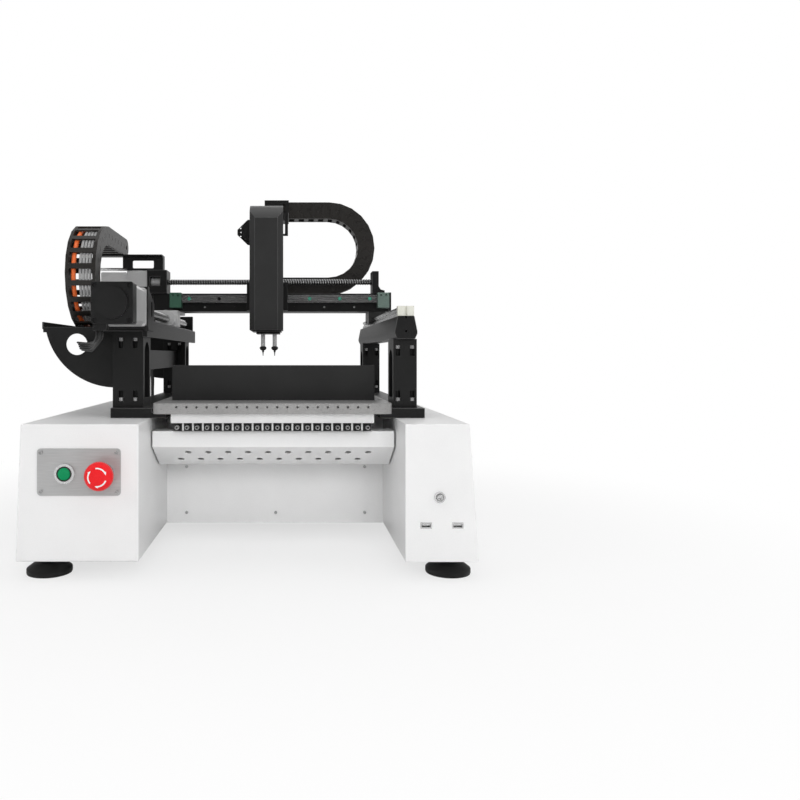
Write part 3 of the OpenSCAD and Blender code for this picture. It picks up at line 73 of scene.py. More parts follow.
# camera, lamps, floor and world
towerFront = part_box("left_tower")[0].y
viewPoint = {"across": 0.0566, "before": 1.0, "height": 0.313, "lens": 32.6, "shiftX": 0.14,
        "shiftY": -0.056}
cameraData = bpy.data.cameras.new("camera")
cameraData.lens = viewPoint["lens"]
cameraData.shift_x = viewPoint["shiftX"]
cameraData.shift_y = viewPoint["shiftY"]
camera = bpy.data.objects.new("camera", cameraData)
camera.location = (viewPoint["across"], towerFront - viewPoint["before"], viewPoint["height"])
camera.rotation_euler = (math.pi / 2, 0, 0)
bpy.context.scene.collection.objects.link(camera)
bpy.context.scene.camera = camera
bpy.context.scene.view_settings.view_transform = "Standard"

lampSettings = {
    "topLamp": {"at": (0.1, 0.0, 2.3), "size": 2.2, "power": 12},
    "leftLamp": {"at": (-2.0, -1.3, 1.6), "size": 1.6, "power": 9},
    "rightLamp": {"at": (2.2, -1.2, 1.5), "size": 1.6, "power": 9},
    "backLamp": {"at": (0.0, 2.2, 1.5), "size": 1.8, "power": 8},
    "fillLamp": {"at": (0.35, -2.4, 0.95), "size": 0.9, "power": 12.5, "mirrored": False},
    "innerLamp": {"at": (0.05, -1.55, 0.75), "size": 0.5, "power": 1.5, "mirrored": False},
}
for name, lamp in lampSettings.items():
    light = bpy.data.lights.new(name, "AREA")
    light.shape = "SQUARE"
    light.size = lamp["size"]
    light.energy = lamp["power"]
    holder = bpy.data.objects.new(name, light)
    holder.visible_glossy = lamp.get("mirrored", True)
    holder.location = lamp["at"]
    holder.rotation_euler = (Vector((0, 0, 0.3)) - Vector(lamp["at"])).to_track_quat("-Z", "Y").to_euler()
    bpy.context.scene.collection.objects.link(holder)

roomSettings = {"diffuse": 0.5, "front": 0.07, "behind": 0.5}


def makeWorld(room):
    # white to the camera; reflections see a bright sweep behind and a dim room in front
    world = bpy.data.worlds.new("studio")
    bpy.context.scene.world = world
    world.use_nodes = True
    tree = world.node_tree
    tree.nodes.clear()
    out = tree.nodes.new("ShaderNodeOutputWorld")
    ambient = tree.nodes.new("ShaderNodeBackground")
    ambient.inputs["Color"].default_value = (1, 1, 1, 1)
    ambient.inputs["Strength"].default_value = room["diffuse"]
    seen = tree.nodes.new("ShaderNodeBackground")
    seen.inputs["Color"].default_value = (1, 1, 1, 1)
    mirror = tree.nodes.new("ShaderNodeBackground")
    coords = tree.nodes.new("ShaderNodeTexCoord")
    parts = tree.nodes.new("ShaderNodeSeparateXYZ")
    sweep = tree.nodes.new("ShaderNodeMapRange")
    sweep.interpolation_type = "SMOOTHSTEP"
    for socket, value in (("From Min", -0.75), ("From Max", 0.55), ("To Min", room["front"]),
            ("To Max", room["behind"])):
        sweep.inputs[socket].default_value = value
    path = tree.nodes.new("ShaderNodeLightPath")
    glossy = tree.nodes.new("ShaderNodeMixShader")
    final = tree.nodes.new("ShaderNodeMixShader")
    link = tree.links.new
    link(coords.outputs["Generated"], parts.inputs[0])
    link(parts.outputs["Y"], sweep.inputs["Value"])
    link(sweep.outputs["Result"], mirror.inputs["Strength"])
    link(path.outputs["Is Glossy Ray"], glossy.inputs[0])
    link(ambient.outputs[0], glossy.inputs[1])
    link(mirror.outputs[0], glossy.inputs[2])
    link(path.outputs["Is Camera Ray"], final.inputs[0])
    link(glossy.outputs[0], final.inputs[1])
    link(seen.outputs[0], final.inputs[2])
    link(final.outputs[0], out.inputs["Surface"])


makeWorld(roomSettings)


def makeFloor():
    # pale floor that keeps the machine's shadow and runs out into the white sweep
    half = 4.0
    mesh = bpy.data.meshes.new("floor")
    mesh.from_pydata([(-half, -half, 0), (half, -half, 0), (half, half, 0), (-half, half, 0)], [],
            [(0, 1, 2, 3)])
    floor = bpy.data.objects.new("floor", mesh)
    bpy.context.scene.collection.objects.link(floor)
    material = bpy.data.materials.new("floorPaper")
    material.use_nodes = True
    tree = material.node_tree
    tree.nodes.clear()
    out = tree.nodes.new("ShaderNodeOutputMaterial")
    paper = tree.nodes.new("ShaderNodeBsdfDiffuse")
    paper.inputs["Color"].default_value = (0.86, 0.86, 0.86, 1)
    glow = tree.nodes.new("ShaderNodeEmission")
    shown = tree.nodes.new("ShaderNodeMixShader")
    coords = tree.nodes.new("ShaderNodeTexCoord")
    far = tree.nodes.new("ShaderNodeVectorMath")
    far.operation = "LENGTH"
    fade = tree.nodes.new("ShaderNodeMapRange")
    fade.interpolation_type = "SMOOTHSTEP"
    for socket, value in (("From Min", 0.35), ("From Max", 1.1), ("To Min", 0.66), ("To Max", 1.0)):
        fade.inputs[socket].default_value = value
    tree.links.new(coords.outputs["Object"], far.inputs[0])
    tree.links.new(far.outputs["Value"], fade.inputs["Value"])
    tree.links.new(fade.outputs["Result"], shown.inputs[0])
    path = tree.nodes.new("ShaderNodeLightPath")
    final = tree.nodes.new("ShaderNodeMixShader")
    tree.links.new(paper.outputs[0], shown.inputs[1])
    tree.links.new(glow.outputs[0], shown.inputs[2])
    tree.links.new(path.outputs["Is Camera Ray"], final.inputs[0])
    tree.links.new(paper.outputs[0], final.inputs[1])
    tree.links.new(shown.outputs[0], final.inputs[2])
    tree.links.new(final.outputs[0], out.inputs["Surface"])
    mesh.materials.append(material)


makeFloor()
print("camera, lamps and floor placed")


# finishes: a base between two tones, mottled by fine and broad noise, with grain in roughness and bump
def makeFinish(name, dark, light, rough, grain=600, metallic=0.0, bump=0.1, stretch=(1, 1, 1),
        specular=0.5, coat=0.0):
    material = bpy.data.materials.new(name)
    material.use_nodes = True
    tree = material.node_tree
    shader = tree.nodes["Principled BSDF"]
    link = tree.links.new
    coords = tree.nodes.new("ShaderNodeTexCoord")
    mapping = tree.nodes.new("ShaderNodeMapping")
    mapping.inputs["Scale"].default_value = stretch
    fine = tree.nodes.new("ShaderNodeTexNoise")
    fine.inputs["Scale"].default_value = grain
    fine.inputs["Detail"].default_value = 3
    broad = tree.nodes.new("ShaderNodeTexNoise")
    broad.inputs["Scale"].default_value = 14
    broad.inputs["Detail"].default_value = 2
    blend = tree.nodes.new("ShaderNodeMath")
    blend.operation = "ADD"
    tone = tree.nodes.new("ShaderNodeMapRange")
    tone.inputs["From Min"].default_value = 0.7
    tone.inputs["From Max"].default_value = 1.3
    colour = tree.nodes.new("ShaderNodeMix")
    colour.data_type = "RGBA"
    colour.inputs["A"].default_value = (*dark, 1)
    colour.inputs["B"].default_value = (*light, 1)
    gloss = tree.nodes.new("ShaderNodeMapRange")
    gloss.inputs["From Min"].default_value = 0.3
    gloss.inputs["From Max"].default_value = 0.7
    gloss.inputs["To Min"].default_value = rough[0]
    gloss.inputs["To Max"].default_value = rough[1]
    relief = tree.nodes.new("ShaderNodeBump")
    relief.inputs["Strength"].default_value = bump
    relief.inputs["Distance"].default_value = 0.0003
    link(coords.outputs["Object"], mapping.inputs["Vector"])
    link(mapping.outputs[0], fine.inputs["Vector"])
    link(coords.outputs["Object"], broad.inputs["Vector"])
    link(fine.outputs["Fac"], blend.inputs[0])
    link(broad.outputs["Fac"], blend.inputs[1])
    link(blend.outputs[0], tone.inputs["Value"])
    link(tone.outputs["Result"], colour.inputs["Factor"])
    link(colour.outputs["Result"], shader.inputs["Base Color"])
    link(fine.outputs["Fac"], gloss.inputs["Value"])
    link(gloss.outputs["Result"], shader.inputs["Roughness"])
    link(fine.outputs["Fac"], relief.inputs["Height"])
    link(relief.outputs["Normal"], shader.inputs["Normal"])
    shader.inputs["Metallic"].default_value = metallic
    shader.inputs["Specular IOR Level"].default_value = specular
    shader.inputs["Coat Weight"].default_value = coat
    return material


def grey(value, warm=0.0):
    return (value * (1 + warm), value, value * (1 - warm))


powderWhite = makeFinish("powderWhite", grey(0.83), grey(0.87), (0.36, 0.46), 900, bump=0.12, specular=0.4)
sheetWhite = makeFinish("sheetWhite", grey(0.88), grey(0.93), (0.4, 0.5), 900, bump=0.1, specular=0.4)
blackAnodised = makeFinish("blackAnodised", grey(0.009), grey(0.013), (0.34, 0.46), 1200, bump=0.06,
        specular=0.34)
# lighter bevel faces for the black parts: a painted highlight along their edges
anodisedEdgeHighlight = makeFinish("anodisedEdgeHighlight", grey(0.055), grey(0.09), (0.3, 0.42), 1200, bump=0.05)
blackSheet = makeFinish("blackSheet", grey(0.009), grey(0.014), (0.4, 0.52), 1000, bump=0.1, specular=0.34)
darkWall = makeFinish("darkWall", grey(0.016), grey(0.022), (0.42, 0.55), 1400, bump=0.08, specular=0.4)
coverPaint = makeFinish("coverPaint", grey(0.022), grey(0.03), (0.36, 0.46), 1100, bump=0.08)
# light faces on the head cover's edge bevels: a painted highlight
coverEdgeHighlight = makeFinish("coverEdgeHighlight", grey(0.22), grey(0.32), (0.3, 0.4), 1100, bump=0.05)
greyTable = makeFinish("greyTable", grey(0.32, 0.01), grey(0.42, 0.01), (0.26, 0.4), 260, metallic=0.4,
        bump=0.1, stretch=(1, 6, 6))
tableEdge = makeFinish("tableEdge", grey(0.62), grey(0.74), (0.22, 0.32), 300, metallic=0.7, bump=0.05)
feederAlu = makeFinish("feederAlu", grey(0.8), grey(0.9), (0.34, 0.48), 320, metallic=0.15, bump=0.08,
        stretch=(0.3, 3, 3))
brightAlu = makeFinish("brightAlu", grey(0.62), grey(0.75), (0.3, 0.44), 320, metallic=0.45, bump=0.1,
        stretch=(0.3, 3, 3))
castAlu = makeFinish("castAlu", grey(0.5), grey(0.66), (0.35, 0.5), 700, metallic=0.45, bump=0.18)
groundSteelX = makeFinish("groundSteelX", grey(0.34), grey(0.5), (0.2, 0.32), 420, metallic=0.9,
        bump=0.08, stretch=(0.04, 3, 3))
groundSteelY = makeFinish("groundSteelY", grey(0.45), grey(0.62), (0.2, 0.32), 420, metallic=0.85,
        bump=0.08, stretch=(3, 0.04, 3))
screwSteel = makeFinish("screwSteel", grey(0.55), grey(0.75), (0.14, 0.24), 500, metallic=0.95, bump=0.03)
# dark steel for the thread grooves: painted shade in the groove
grooveShadeSteel = makeFinish("grooveShadeSteel", grey(0.05), grey(0.09), (0.3, 0.42), 500, metallic=0.7, bump=0.05)
boltSteel = makeFinish("boltSteel", grey(0.42), grey(0.6), (0.22, 0.36), 900, metallic=0.8, bump=0.06)
darkBolt = makeFinish("darkBolt", grey(0.1), grey(0.17), (0.28, 0.4), 900, metallic=0.6, bump=0.06)
# near-black steel for the carriage blocks: a painted shade on blocks that sit in shadow
carriageShadedSteel = makeFinish("carriageShadedSteel", grey(0.03), grey(0.06), (0.3, 0.42), 500, metallic=0.5,
        bump=0.08)
controlGrey = makeFinish("controlGrey", grey(0.42), grey(0.52), (0.3, 0.42), 240, metallic=0.3, bump=0.08,
        stretch=(0.15, 1, 3))
motorBlack = makeFinish("motorBlack", grey(0.01), grey(0.016), (0.3, 0.42), 900, bump=0.12, specular=0.4)
linkPlastic = makeFinish("linkPlastic", grey(0.014, 0.12), grey(0.022, 0.12), (0.36, 0.5), 1300, bump=0.12)
# lighter bevel faces of the chain links: painted glints along their edges
linkEdgeGlint = makeFinish("linkEdgeGlint", grey(0.05, 0.06), grey(0.09, 0.06), (0.3, 0.42), 1300, bump=0.1)
mouldedBlack = makeFinish("mouldedBlack", grey(0.014), grey(0.02), (0.4, 0.55), 1300, bump=0.12)
footRubber = makeFinish("footRubber", grey(0.009), grey(0.014), (0.42, 0.56), 800, bump=0.15, specular=0.3)
beltRubber = makeFinish("beltRubber", grey(0.014), grey(0.022), (0.6, 0.75), 900, bump=0.2)
stopDark = makeFinish("stopDark", (0.03, 0.095, 0.06), (0.045, 0.13, 0.085), (0.3, 0.42), 700, bump=0.1)
stopPale = makeFinish("stopPale", (0.1, 0.15, 0.13), (0.15, 0.21, 0.18), (0.3, 0.42), 700, bump=0.1)
railPlug = makeFinish("railPlug", (0.03, 0.26, 0.17), (0.05, 0.33, 0.22), (0.3, 0.42), 700, bump=0.08)
stopCream = makeFinish("stopCream", (0.66, 0.66, 0.58), (0.76, 0.76, 0.69), (0.28, 0.4), 500, bump=0.1)
redPlastic = makeFinish("redPlastic", (0.78, 0.008, 0.012), (0.88, 0.016, 0.022), (0.3, 0.4), 700,
        bump=0.04, specular=0.25)
signWhite = makeFinish("signWhite", grey(0.84), grey(0.9), (0.35, 0.45), 900, bump=0.05)
greenPlastic = makeFinish("greenPlastic", (0.0, 0.22, 0.08), (0.003, 0.28, 0.1), (0.3, 0.4), 700,
        bump=0.04, specular=0.2)
ringSteel = makeFinish("ringSteel", grey(0.6), grey(0.75), (0.16, 0.28), 600, metallic=0.7, bump=0.04)
orangeSheath = makeFinish("orangeSheath", (0.8, 0.13, 0.025), (0.9, 0.18, 0.04), (0.35, 0.5), 500, bump=0.1)
greySheath = makeFinish("greySheath", grey(0.3), grey(0.42), (0.3, 0.42), 500, bump=0.08)
leadSheath = makeFinish("leadSheath", grey(0.014), grey(0.022), (0.38, 0.5), 700, bump=0.1)
print("finishes mixed")


# shared makers
def bodyOf(node):
    return nodes[node]["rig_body"]


def place(obj, body, replaced=()):
    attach(obj, body)
    if replaced:
        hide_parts(*replaced)
    return obj


def newObject(name, mesh, *materials):
    obj = bpy.data.objects.new(name, mesh)
    bpy.context.scene.collection.objects.link(obj)
    mesh.materials.clear()
    for material in materials:
        mesh.materials.append(material)
    return obj


def roundOff(mesh, angle=32):
    mesh.polygons.foreach_set("use_smooth", np.ones(len(mesh.polygons), bool))
    mesh.set_sharp_from_angle(angle=math.radians(angle))
    mesh.update()


def mergedCopy(node):
    # welded copy of a drawn mesh, with flat faces joined and its imported normals dropped
    mesh = nodes[node].data.copy()
    work = bmesh.new()
    work.from_mesh(mesh)
    bmesh.ops.remove_doubles(work, verts=work.verts, dist=2e-6)
    bmesh.ops.dissolve_limit(work, angle_limit=math.radians(0.5), verts=work.verts, edges=work.edges)
    work.to_mesh(mesh)
    work.free()
    for name in ("custom_normal", "sharp_face", "sharp_edge"):
        if name in mesh.attributes:
            mesh.attributes.remove(mesh.attributes[name])
    return mesh


def markEdges(mesh, shortest, sharpest=40):
    # bevel weight on long convex edges only, so bores keep their rims
    work = bmesh.new()
    work.from_mesh(mesh)
    weight = work.edges.layers.float.new("bevel_weight_edge")
    limit = math.radians(sharpest)
    for edge in work.edges:
        if len(edge.link_faces) != 2 or edge.calc_length() < shortest or not edge.is_convex:
            continue
        if edge.calc_face_angle() > limit:
            edge[weight] = 1.0
    work.to_mesh(mesh)
    work.free()


def soften(node, width, *materials, shortest=4, sharpest=40, edgeSlot=-1, split=None, segments=2):
    mesh = mergedCopy(node)
    markEdges(mesh, shortest * mm, sharpest)
    obj = newObject(node + "Softened", mesh, *materials)
    if split is not None:
        centres = np.empty(len(mesh.polygons) * 3)
        normals = np.empty(len(mesh.polygons) * 3)
        mesh.polygons.foreach_get("center", centres)
        mesh.polygons.foreach_get("normal", normals)
        index = split(centres.reshape(-1, 3), normals.reshape(-1, 3)).astype(np.int32)
        mesh.polygons.foreach_set("material_index", index)
    roundOff(mesh)
    bevel = obj.modifiers.new("edges", "BEVEL")
    bevel.limit_method = "WEIGHT"
    bevel.width = width * mm
    bevel.segments = segments
    bevel.harden_normals = True
    bevel.use_clamp_overlap = True
    if edgeSlot >= 0:
        bevel.material = edgeSlot
    return place(obj, bodyOf(node), [node])


def paint(node, material):
    nodes[node].data.materials.clear()
    nodes[node].data.materials.append(material)


def gridQuads(rows, columns, closed):
    # quads of a grid of rows by columns; closed joins the last column to the first
    count = columns if closed else columns - 1
    r, c = np.meshgrid(np.arange(rows - 1), np.arange(count), indexing="ij")
    a = r * columns + c
    b = r * columns + (c + 1) % columns
    return np.stack([a, b, b + columns, a + columns], -1).reshape(-1, 4)


def gridMesh(name, points, closed=True, caps=True):
    # points is rows x columns x 3; the first and last rows are closed by one face each
    rows, columns = points.shape[:2]
    faces = gridQuads(rows, columns, closed).tolist()
    if caps:
        faces += [list(range(columns - 1, -1, -1)), list(range((rows - 1) * columns, rows * columns))]
    mesh = bpy.data.meshes.new(name)
    mesh.from_pydata(points.reshape(-1, 3).tolist(), [], faces)
    work = bmesh.new()
    work.from_mesh(mesh)
    bmesh.ops.remove_doubles(work, verts=work.verts, dist=1e-7)
    bmesh.ops.dissolve_degenerate(work, edges=work.edges, dist=1e-7)
    bmesh.ops.recalc_face_normals(work, faces=work.faces)
    work.to_mesh(mesh)
    work.free()
    return mesh


def lathe(name, profile, origin, axis="y", segments=40, ripple=None):
    # a profile of (radius, along) in mm turned about the axis; ripple scales the radius by angle and row
    outline = np.array(profile, float) * mm
    angle = np.linspace(0, 2 * np.pi, segments, endpoint=False)
    radius = outline[:, :1] * np.ones_like(angle)
    if ripple is not None:
        radius = radius * ripple(outline[:, :1] / mm, angle)
    along = outline[:, 1:] * np.ones_like(angle)
    u, v = radius * np.cos(angle), radius * np.sin(angle)
    order = {"x": (along, u, v), "y": (u, along, v), "z": (u, v, along)}[axis]
    return gridMesh(name, np.stack(order, -1) + np.array(origin), caps=False)


def joinMeshes(name, meshes):
    # several meshes as one
    work = bmesh.new()
    for mesh in meshes:
        work.from_mesh(mesh)
    mesh = bpy.data.meshes.new(name)
    work.to_mesh(mesh)
    work.free()
    return mesh


def slabMesh(name, outline, lo, hi, plane="xz"):
    # a closed outline in mm carried straight from lo to hi
    ring = np.array(outline, float) * mm
    rows = []
    for at in (lo, hi):
        level = np.full(len(ring), at * mm)
        rows.append(np.stack({"xz": (ring[:, 0], level, ring[:, 1]), "xy": (ring[:, 0], ring[:, 1], level),
                              "yz": (level, ring[:, 0], ring[:, 1])}[plane], -1))
    return gridMesh(name, np.stack(rows))


def boxOutline(x0, x1, z0, z1, corner=0.3):
    # a rectangle with cut corners, in mm
    c = corner
    return [(x0 + c, z0), (x1 - c, z0), (x1, z0 + c), (x1, z1 - c), (x1 - c, z1), (x0 + c, z1),
            (x0, z1 - c), (x0, z0 + c)]


def smoothPath(points, per=6):
    # a curve through the points: each stretch is a cubic with slopes from its neighbours
    p = np.array(points, float)
    p = np.vstack([2 * p[0] - p[1], p, 2 * p[-1] - p[-2]])
    t = np.linspace(0, 1, per, endpoint=False)[:, None]
    parts = []
    for a, b, c, d in zip(p[:-3], p[1:-2], p[2:-1], p[3:]):
        parts.append(0.5 * (2 * b + (c - a) * t + (2 * a - 5 * b + 4 * c - d) * t ** 2
                + (3 * b - a - 3 * c + d) * t ** 3))
    return np.vstack(parts + [p[-2:-1]])


def tubeMesh(name, path, radius, sides=10):
    # a ring about each point of the path, square to its direction
    path = np.asarray(path)
    ahead = np.gradient(path, axis=0)
    ahead /= np.linalg.norm(ahead, axis=1)[:, None]
    side = np.cross(ahead, (1.0, 0.02, 0.03))
    side /= np.linalg.norm(side, axis=1)[:, None]
    up = np.cross(ahead, side)
    angle = np.linspace(0, 2 * np.pi, sides, endpoint=False)[None, :, None]
    return gridMesh(name, path[:, None] + radius * (side[:, None] * np.cos(angle) + up[:,
            None] * np.sin(angle)))


# casings and structure
whiteParts = {"left_tower": 2.2, "right_tower": 2.2, "centre_housing": 0.8, "feeder_guard": 0.4,
        "access_cover": 0.4}
for node, width in whiteParts.items():
    soften(node, width, powderWhite if "tower" in node else sheetWhite, segments=3)
soften("control_plate", 0.4, controlGrey)
blackParts = {"base_rails": 0.8, "posts": 0.7, "left_bridge": 0.8, "right_bridge": 0.8, "x_beam": 0.6,
              "x_bearings": 0.8, "y_screw_mounts": 0.8, "head_plate": 0.5, "nozzle_guide": 0.5,
                      "feeder_blocks": 0.4}
# black parts take the lighter finish on their bevels, a painted edge highlight
for node, width in blackParts.items():
    soften(node, width, blackAnodised, anodisedEdgeHighlight, edgeSlot=1)
# their bevels also take the painted edge highlight
for node in ("chain_tray", "chain_supports", "chain_arm"):
    soften(node, 0.5, blackSheet, anodisedEdgeHighlight, edgeSlot=1)
soften("feeder_wall", 0.4, darkWall)
# head cover bevels in the light finish, a painted highlight along the edges
soften("head_cover", 1.1, coverPaint, coverEdgeHighlight, sharpest=30, edgeSlot=1)
soften("table_plate", 0.9, greyTable, tableEdge, edgeSlot=1)
for node, width in {"feeder_bar": 0.5, "board_clamp": 0.7, "y_nut": 0.6}.items():
    soften(node, width, feederAlu if node == "feeder_bar" else brightAlu)
soften("x_motor", 0.6, castAlu)
# carriage blocks in the near-black steel, a painted shade
soften("y_carriages", 0.5, carriageShadedSteel)
soften("x_carriage", 0.5, carriageShadedSteel)
soften("rail_stop", 0.5, stopCream)
soften("x_end_stops", 0.6, stopDark, stopPale, split=lambda at, facing: at[:, 0] > 0)
for node in ("nozzle_slide_left", "nozzle_slide_right"):
    soften(node, 0.5, brightAlu)
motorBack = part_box("y_screw_mounts")[0].y
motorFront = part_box("left_tower")[0].y + 1.5 * mm
soften("y_motor", 0.8, motorBlack, castAlu, split=lambda at,
        facing: (at[:, 1] > motorFront) & (at[:, 1] < motorBack - mm))
for node, material in {
    "y_rails": groundSteelY, "x_rail": groundSteelX, "button_bezels": ringSteel, "estop_stem": mouldedBlack,
    "usb_ports": ringSteel, "power_cap": ringSteel, "rear_inlet": mouldedBlack, "z_motor": motorBlack,
    "z_pulley": castAlu, "z_idler": castAlu, "z_belt": beltRubber,
}.items():
    paint(node, material)
print("casings and structure finished")


# screws of the two drives: radius follows a rounded groove that winds once in each lead
def threadedRod(name, node, axis, settings):
    start, end, radius, lead, depth = (settings[k] * mm for k in ("start", "end", "radius", "lead",
            "depth"))
    lo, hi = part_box(node)
    centre = (lo + hi) / 2
    rows = int((end - start) / lead * 10) + 1
    along = np.linspace(start, end, rows)[:, None]
    angle = np.linspace(0, 2 * np.pi, 20, endpoint=False)[None, :]
    phase = (along / lead - angle / (2 * np.pi)) % 1
    groove = np.clip(1 - np.abs(phase - 0.5) / 0.36, 0, 1)
    r = radius - depth * np.sqrt(groove)
    along = along * np.ones_like(angle)
    if axis == "x":
        points = np.stack([along, centre.y + r * np.cos(angle), centre.z + r * np.sin(angle)], -1)
    else:
        points = np.stack([centre.x + r * np.cos(angle), along, centre.z + r * np.sin(angle)], -1)
    mesh = gridMesh(name, points)
    roundOff(mesh, 50)
    obj = newObject(name, mesh, screwSteel, grooveShadeSteel)
    # faces near the middle of each winding lie in the groove and take the dark steel, a painted shade
    at = np.empty(len(mesh.polygons) * 3)
    mesh.polygons.foreach_get("center", at)
    at = at.reshape(-1, 3)
    turn = np.arctan2(at[:, 2] - centre.z, at[:,
            1 if axis == "x" else 0] - (centre.y if axis == "x" else centre.x))
    winding = (at[:, 0 if axis == "x" else 1] / lead - turn / (2 * np.pi)) % 1
    mesh.polygons.foreach_set("material_index", (np.abs(winding - 0.5) < 0.26).astype(np.int32))
    return obj


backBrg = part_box("y_screw")[1].y / mm
yDrive = {"start": -178.0, "end": backBrg - 12.5, "radius": 8.0, "lead": 10.0, "depth": 1.6}
place(threadedRod("ySpiral", "y_screw", "y", yDrive), "y_drive_screw", ["y_screw"])
xLo, xHi = (v.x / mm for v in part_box("x_screw"))
xDrive = {"start": -185.5, "end": xHi - 13.5, "radius": 6.0, "lead": 5.0, "depth": 1.3}
place(threadedRod("xSpiral", "x_screw", "x", xDrive), "x_drive_screw", ["x_screw"])


def driveEnds():
    # journals and the slotted couplings at the motor ends
    lo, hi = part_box("y_screw")
    centre = (lo + hi) / 2
    front = lo.y / mm
    profile = [(0, front), (11.5, front), (12.5, front + 1), (12.5, front + 10), (11.4, front + 10.6),
            (11.4, front + 12),
               (12.5, front + 12.6), (12.5, front + 19), (11.4, front + 19.6), (11.4, front + 21),
                       (12.5, front + 21.6),
               (12.5, front + 41), (11.5, front + 42), (5, front + 42), (5, yDrive["start"] + 1),
                       (0, yDrive["start"] + 1)]
    mesh = lathe("yCoupling", profile, (centre.x, 0, centre.z))
    roundOff(mesh)
    place(newObject("yCoupling", mesh, brightAlu), "y_drive_screw", ["y_screw"])
    tail = [(0, yDrive["end"] - 1), (5, yDrive["end"] - 1), (5, backBrg - 0.6), (4.4, backBrg),
            (0, backBrg)]
    mesh = lathe("yTail", tail, (centre.x, 0, centre.z))
    roundOff(mesh)
    place(newObject("yTail", mesh, screwSteel), "y_drive_screw", ["y_screw"])
    lo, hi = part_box("x_screw")
    centre = (lo + hi) / 2
    near = lo.x / mm
    profile = [(0, near), (8.9, near), (9.5, near + 0.6), (9.5, near + 5), (8.8, near + 5.4),
            (8.8, near + 6.4),
               (9.5, near + 6.8), (9.5, near + 21.4), (8.9, near + 22), (4, near + 22),
                       (4, xDrive["start"] + 1),
               (0, xDrive["start"] + 1)]
    mesh = lathe("xCoupling", profile, (0, centre.y, centre.z), "x")
    roundOff(mesh)
    place(newObject("xCoupling", mesh, brightAlu), "x_drive_screw", ["x_screw"])
    tail = [(0, xDrive["end"] - 1), (4, xDrive["end"] - 1), (4, xHi - 0.5), (3.5, xHi), (0, xHi)]
    mesh = lathe("xTail", tail, (0, centre.y, centre.z), "x")
    roundOff(mesh)
    place(newObject("xTail", mesh, screwSteel), "x_drive_screw", ["x_screw"])


driveEnds()
print("drive screws cut")

# cable chains: each link of a straight run is a piece of its own; a link that sits at one share of its run
# rides the nearer body, any other is baked in place
chainSettings = {"edge": 0.6}


def inverseStep(w):
    # t where 3t^2 - 2t^3 = w
    return 0.5 - math.sin(math.asin(1 - 2 * w) / 3)


def looseLinks(node):
    mesh = mergedCopy(node)
    markEdges(mesh, 3 * mm, 50)
    whole = newObject(node + "Whole", mesh, linkPlastic, linkEdgeGlint)
    bevel = whole.modifiers.new("edges", "BEVEL")
    bevel.limit_method = "WEIGHT"
    bevel.width = chainSettings["edge"] * mm
    bevel.segments = 1
    # bevel faces take the lighter finish: painted edge glints
    bevel.material = 1
    depsgraph = bpy.context.evaluated_depsgraph_get()
    shaped = bpy.data.meshes.new_from_object(whole.evaluated_get(depsgraph))
    bpy.data.objects.remove(whole)
    obj = bpy.data.objects.new(node + "Link", shaped)
    bpy.context.scene.collection.objects.link(obj)
    bpy.ops.object.select_all(action="DESELECT")
    obj.select_set(True)
    bpy.context.view_layer.objects.active = obj
    bpy.ops.object.mode_set(mode="EDIT")
    bpy.ops.mesh.select_all(action="SELECT")
    bpy.ops.mesh.separate(type="LOOSE")
    bpy.ops.object.mode_set(mode="OBJECT")
    found = list(bpy.context.selected_objects)
    for link in found:
        roundOff(link.data, 34)
    return found


def followRun(obj, node, axis, fixedEnd, bendEnd, weights, bodies, replaced):
    # works out the link's share of the run from the fixed end to the bend end; a link with a single share
    # rides one body, any other is baked in place and the drawn run hidden
    co = np.empty(len(obj.data.vertices) * 3)
    obj.data.vertices.foreach_get("co", co)
    reach = co.reshape(-1, 3)[:, axis]
    share = [(value - fixedEnd) / (bendEnd - fixedEnd) for value in (reach.min(), reach.max())]
    wLo, wHi = (min(max(weights[0] + s * (weights[1] - weights[0]), 0.0), 1.0) for s in share)
    tLo, tHi = inverseStep(wLo), inverseStep(wHi)
    lo, hi = reach.min(), reach.max()
    if abs(tHi - tLo) < 1e-4:
        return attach(obj, bodies[0] if wLo < 0.5 else bodies[1])
    span = (hi - lo) / (tHi - tLo)
    begin = lo - tLo * span
    start, end = [0.0, 0.0, 0.0], [0.0, 0.0, 0.0]
    start[axis], end[axis] = begin, begin + span
    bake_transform(obj)
    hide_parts(*replaced)


runs = {
    "y_chain_lower": (1, ("base", "gantry"), 0.0),
    "y_chain_upper": (1, ("base", "gantry"), 1.0),
    "x_chain_lower": (0, ("gantry", "head"), 0.0),
    "x_chain_upper": (0, ("gantry", "head"), 1.0),
}
for node, (axis, bodies, atFixed) in runs.items():
    lo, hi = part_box(node)
    fixedEnd = hi.y if axis == 1 else lo.x
    bendEnd = lo.y if axis == 1 else hi.x
    for number, link in enumerate(sorted(looseLinks(node),
            key=lambda o: sum(v.co[axis] for v in o.data.vertices) / len(o.data.vertices))):
        link.name = f"{node}{number + 1}"
        followRun(link, node, axis, fixedEnd, bendEnd, (atFixed, 0.5), bodies, [node])
for node, body in {"y_chain_bend": "y_bend", "x_chain_bend": "x_bend"}.items():
    for number, link in enumerate(looseLinks(node)):
        link.name = f"{node}{number + 1}"
        place(link, body, [node])
print("chain links placed")


# cables in the Y chain: name, place across the chain, radius and sheath; each lies against the outer bars
cableSettings = {"orange": (-13.5, 4.0, orangeSheath), "grey1": (-1.5, 2.5, greySheath),
        "grey2": (4.1, 2.5, greySheath),
                 "grey3": (9.7, 2.5, greySheath), "grey4": (15.3, 2.5, greySheath)}


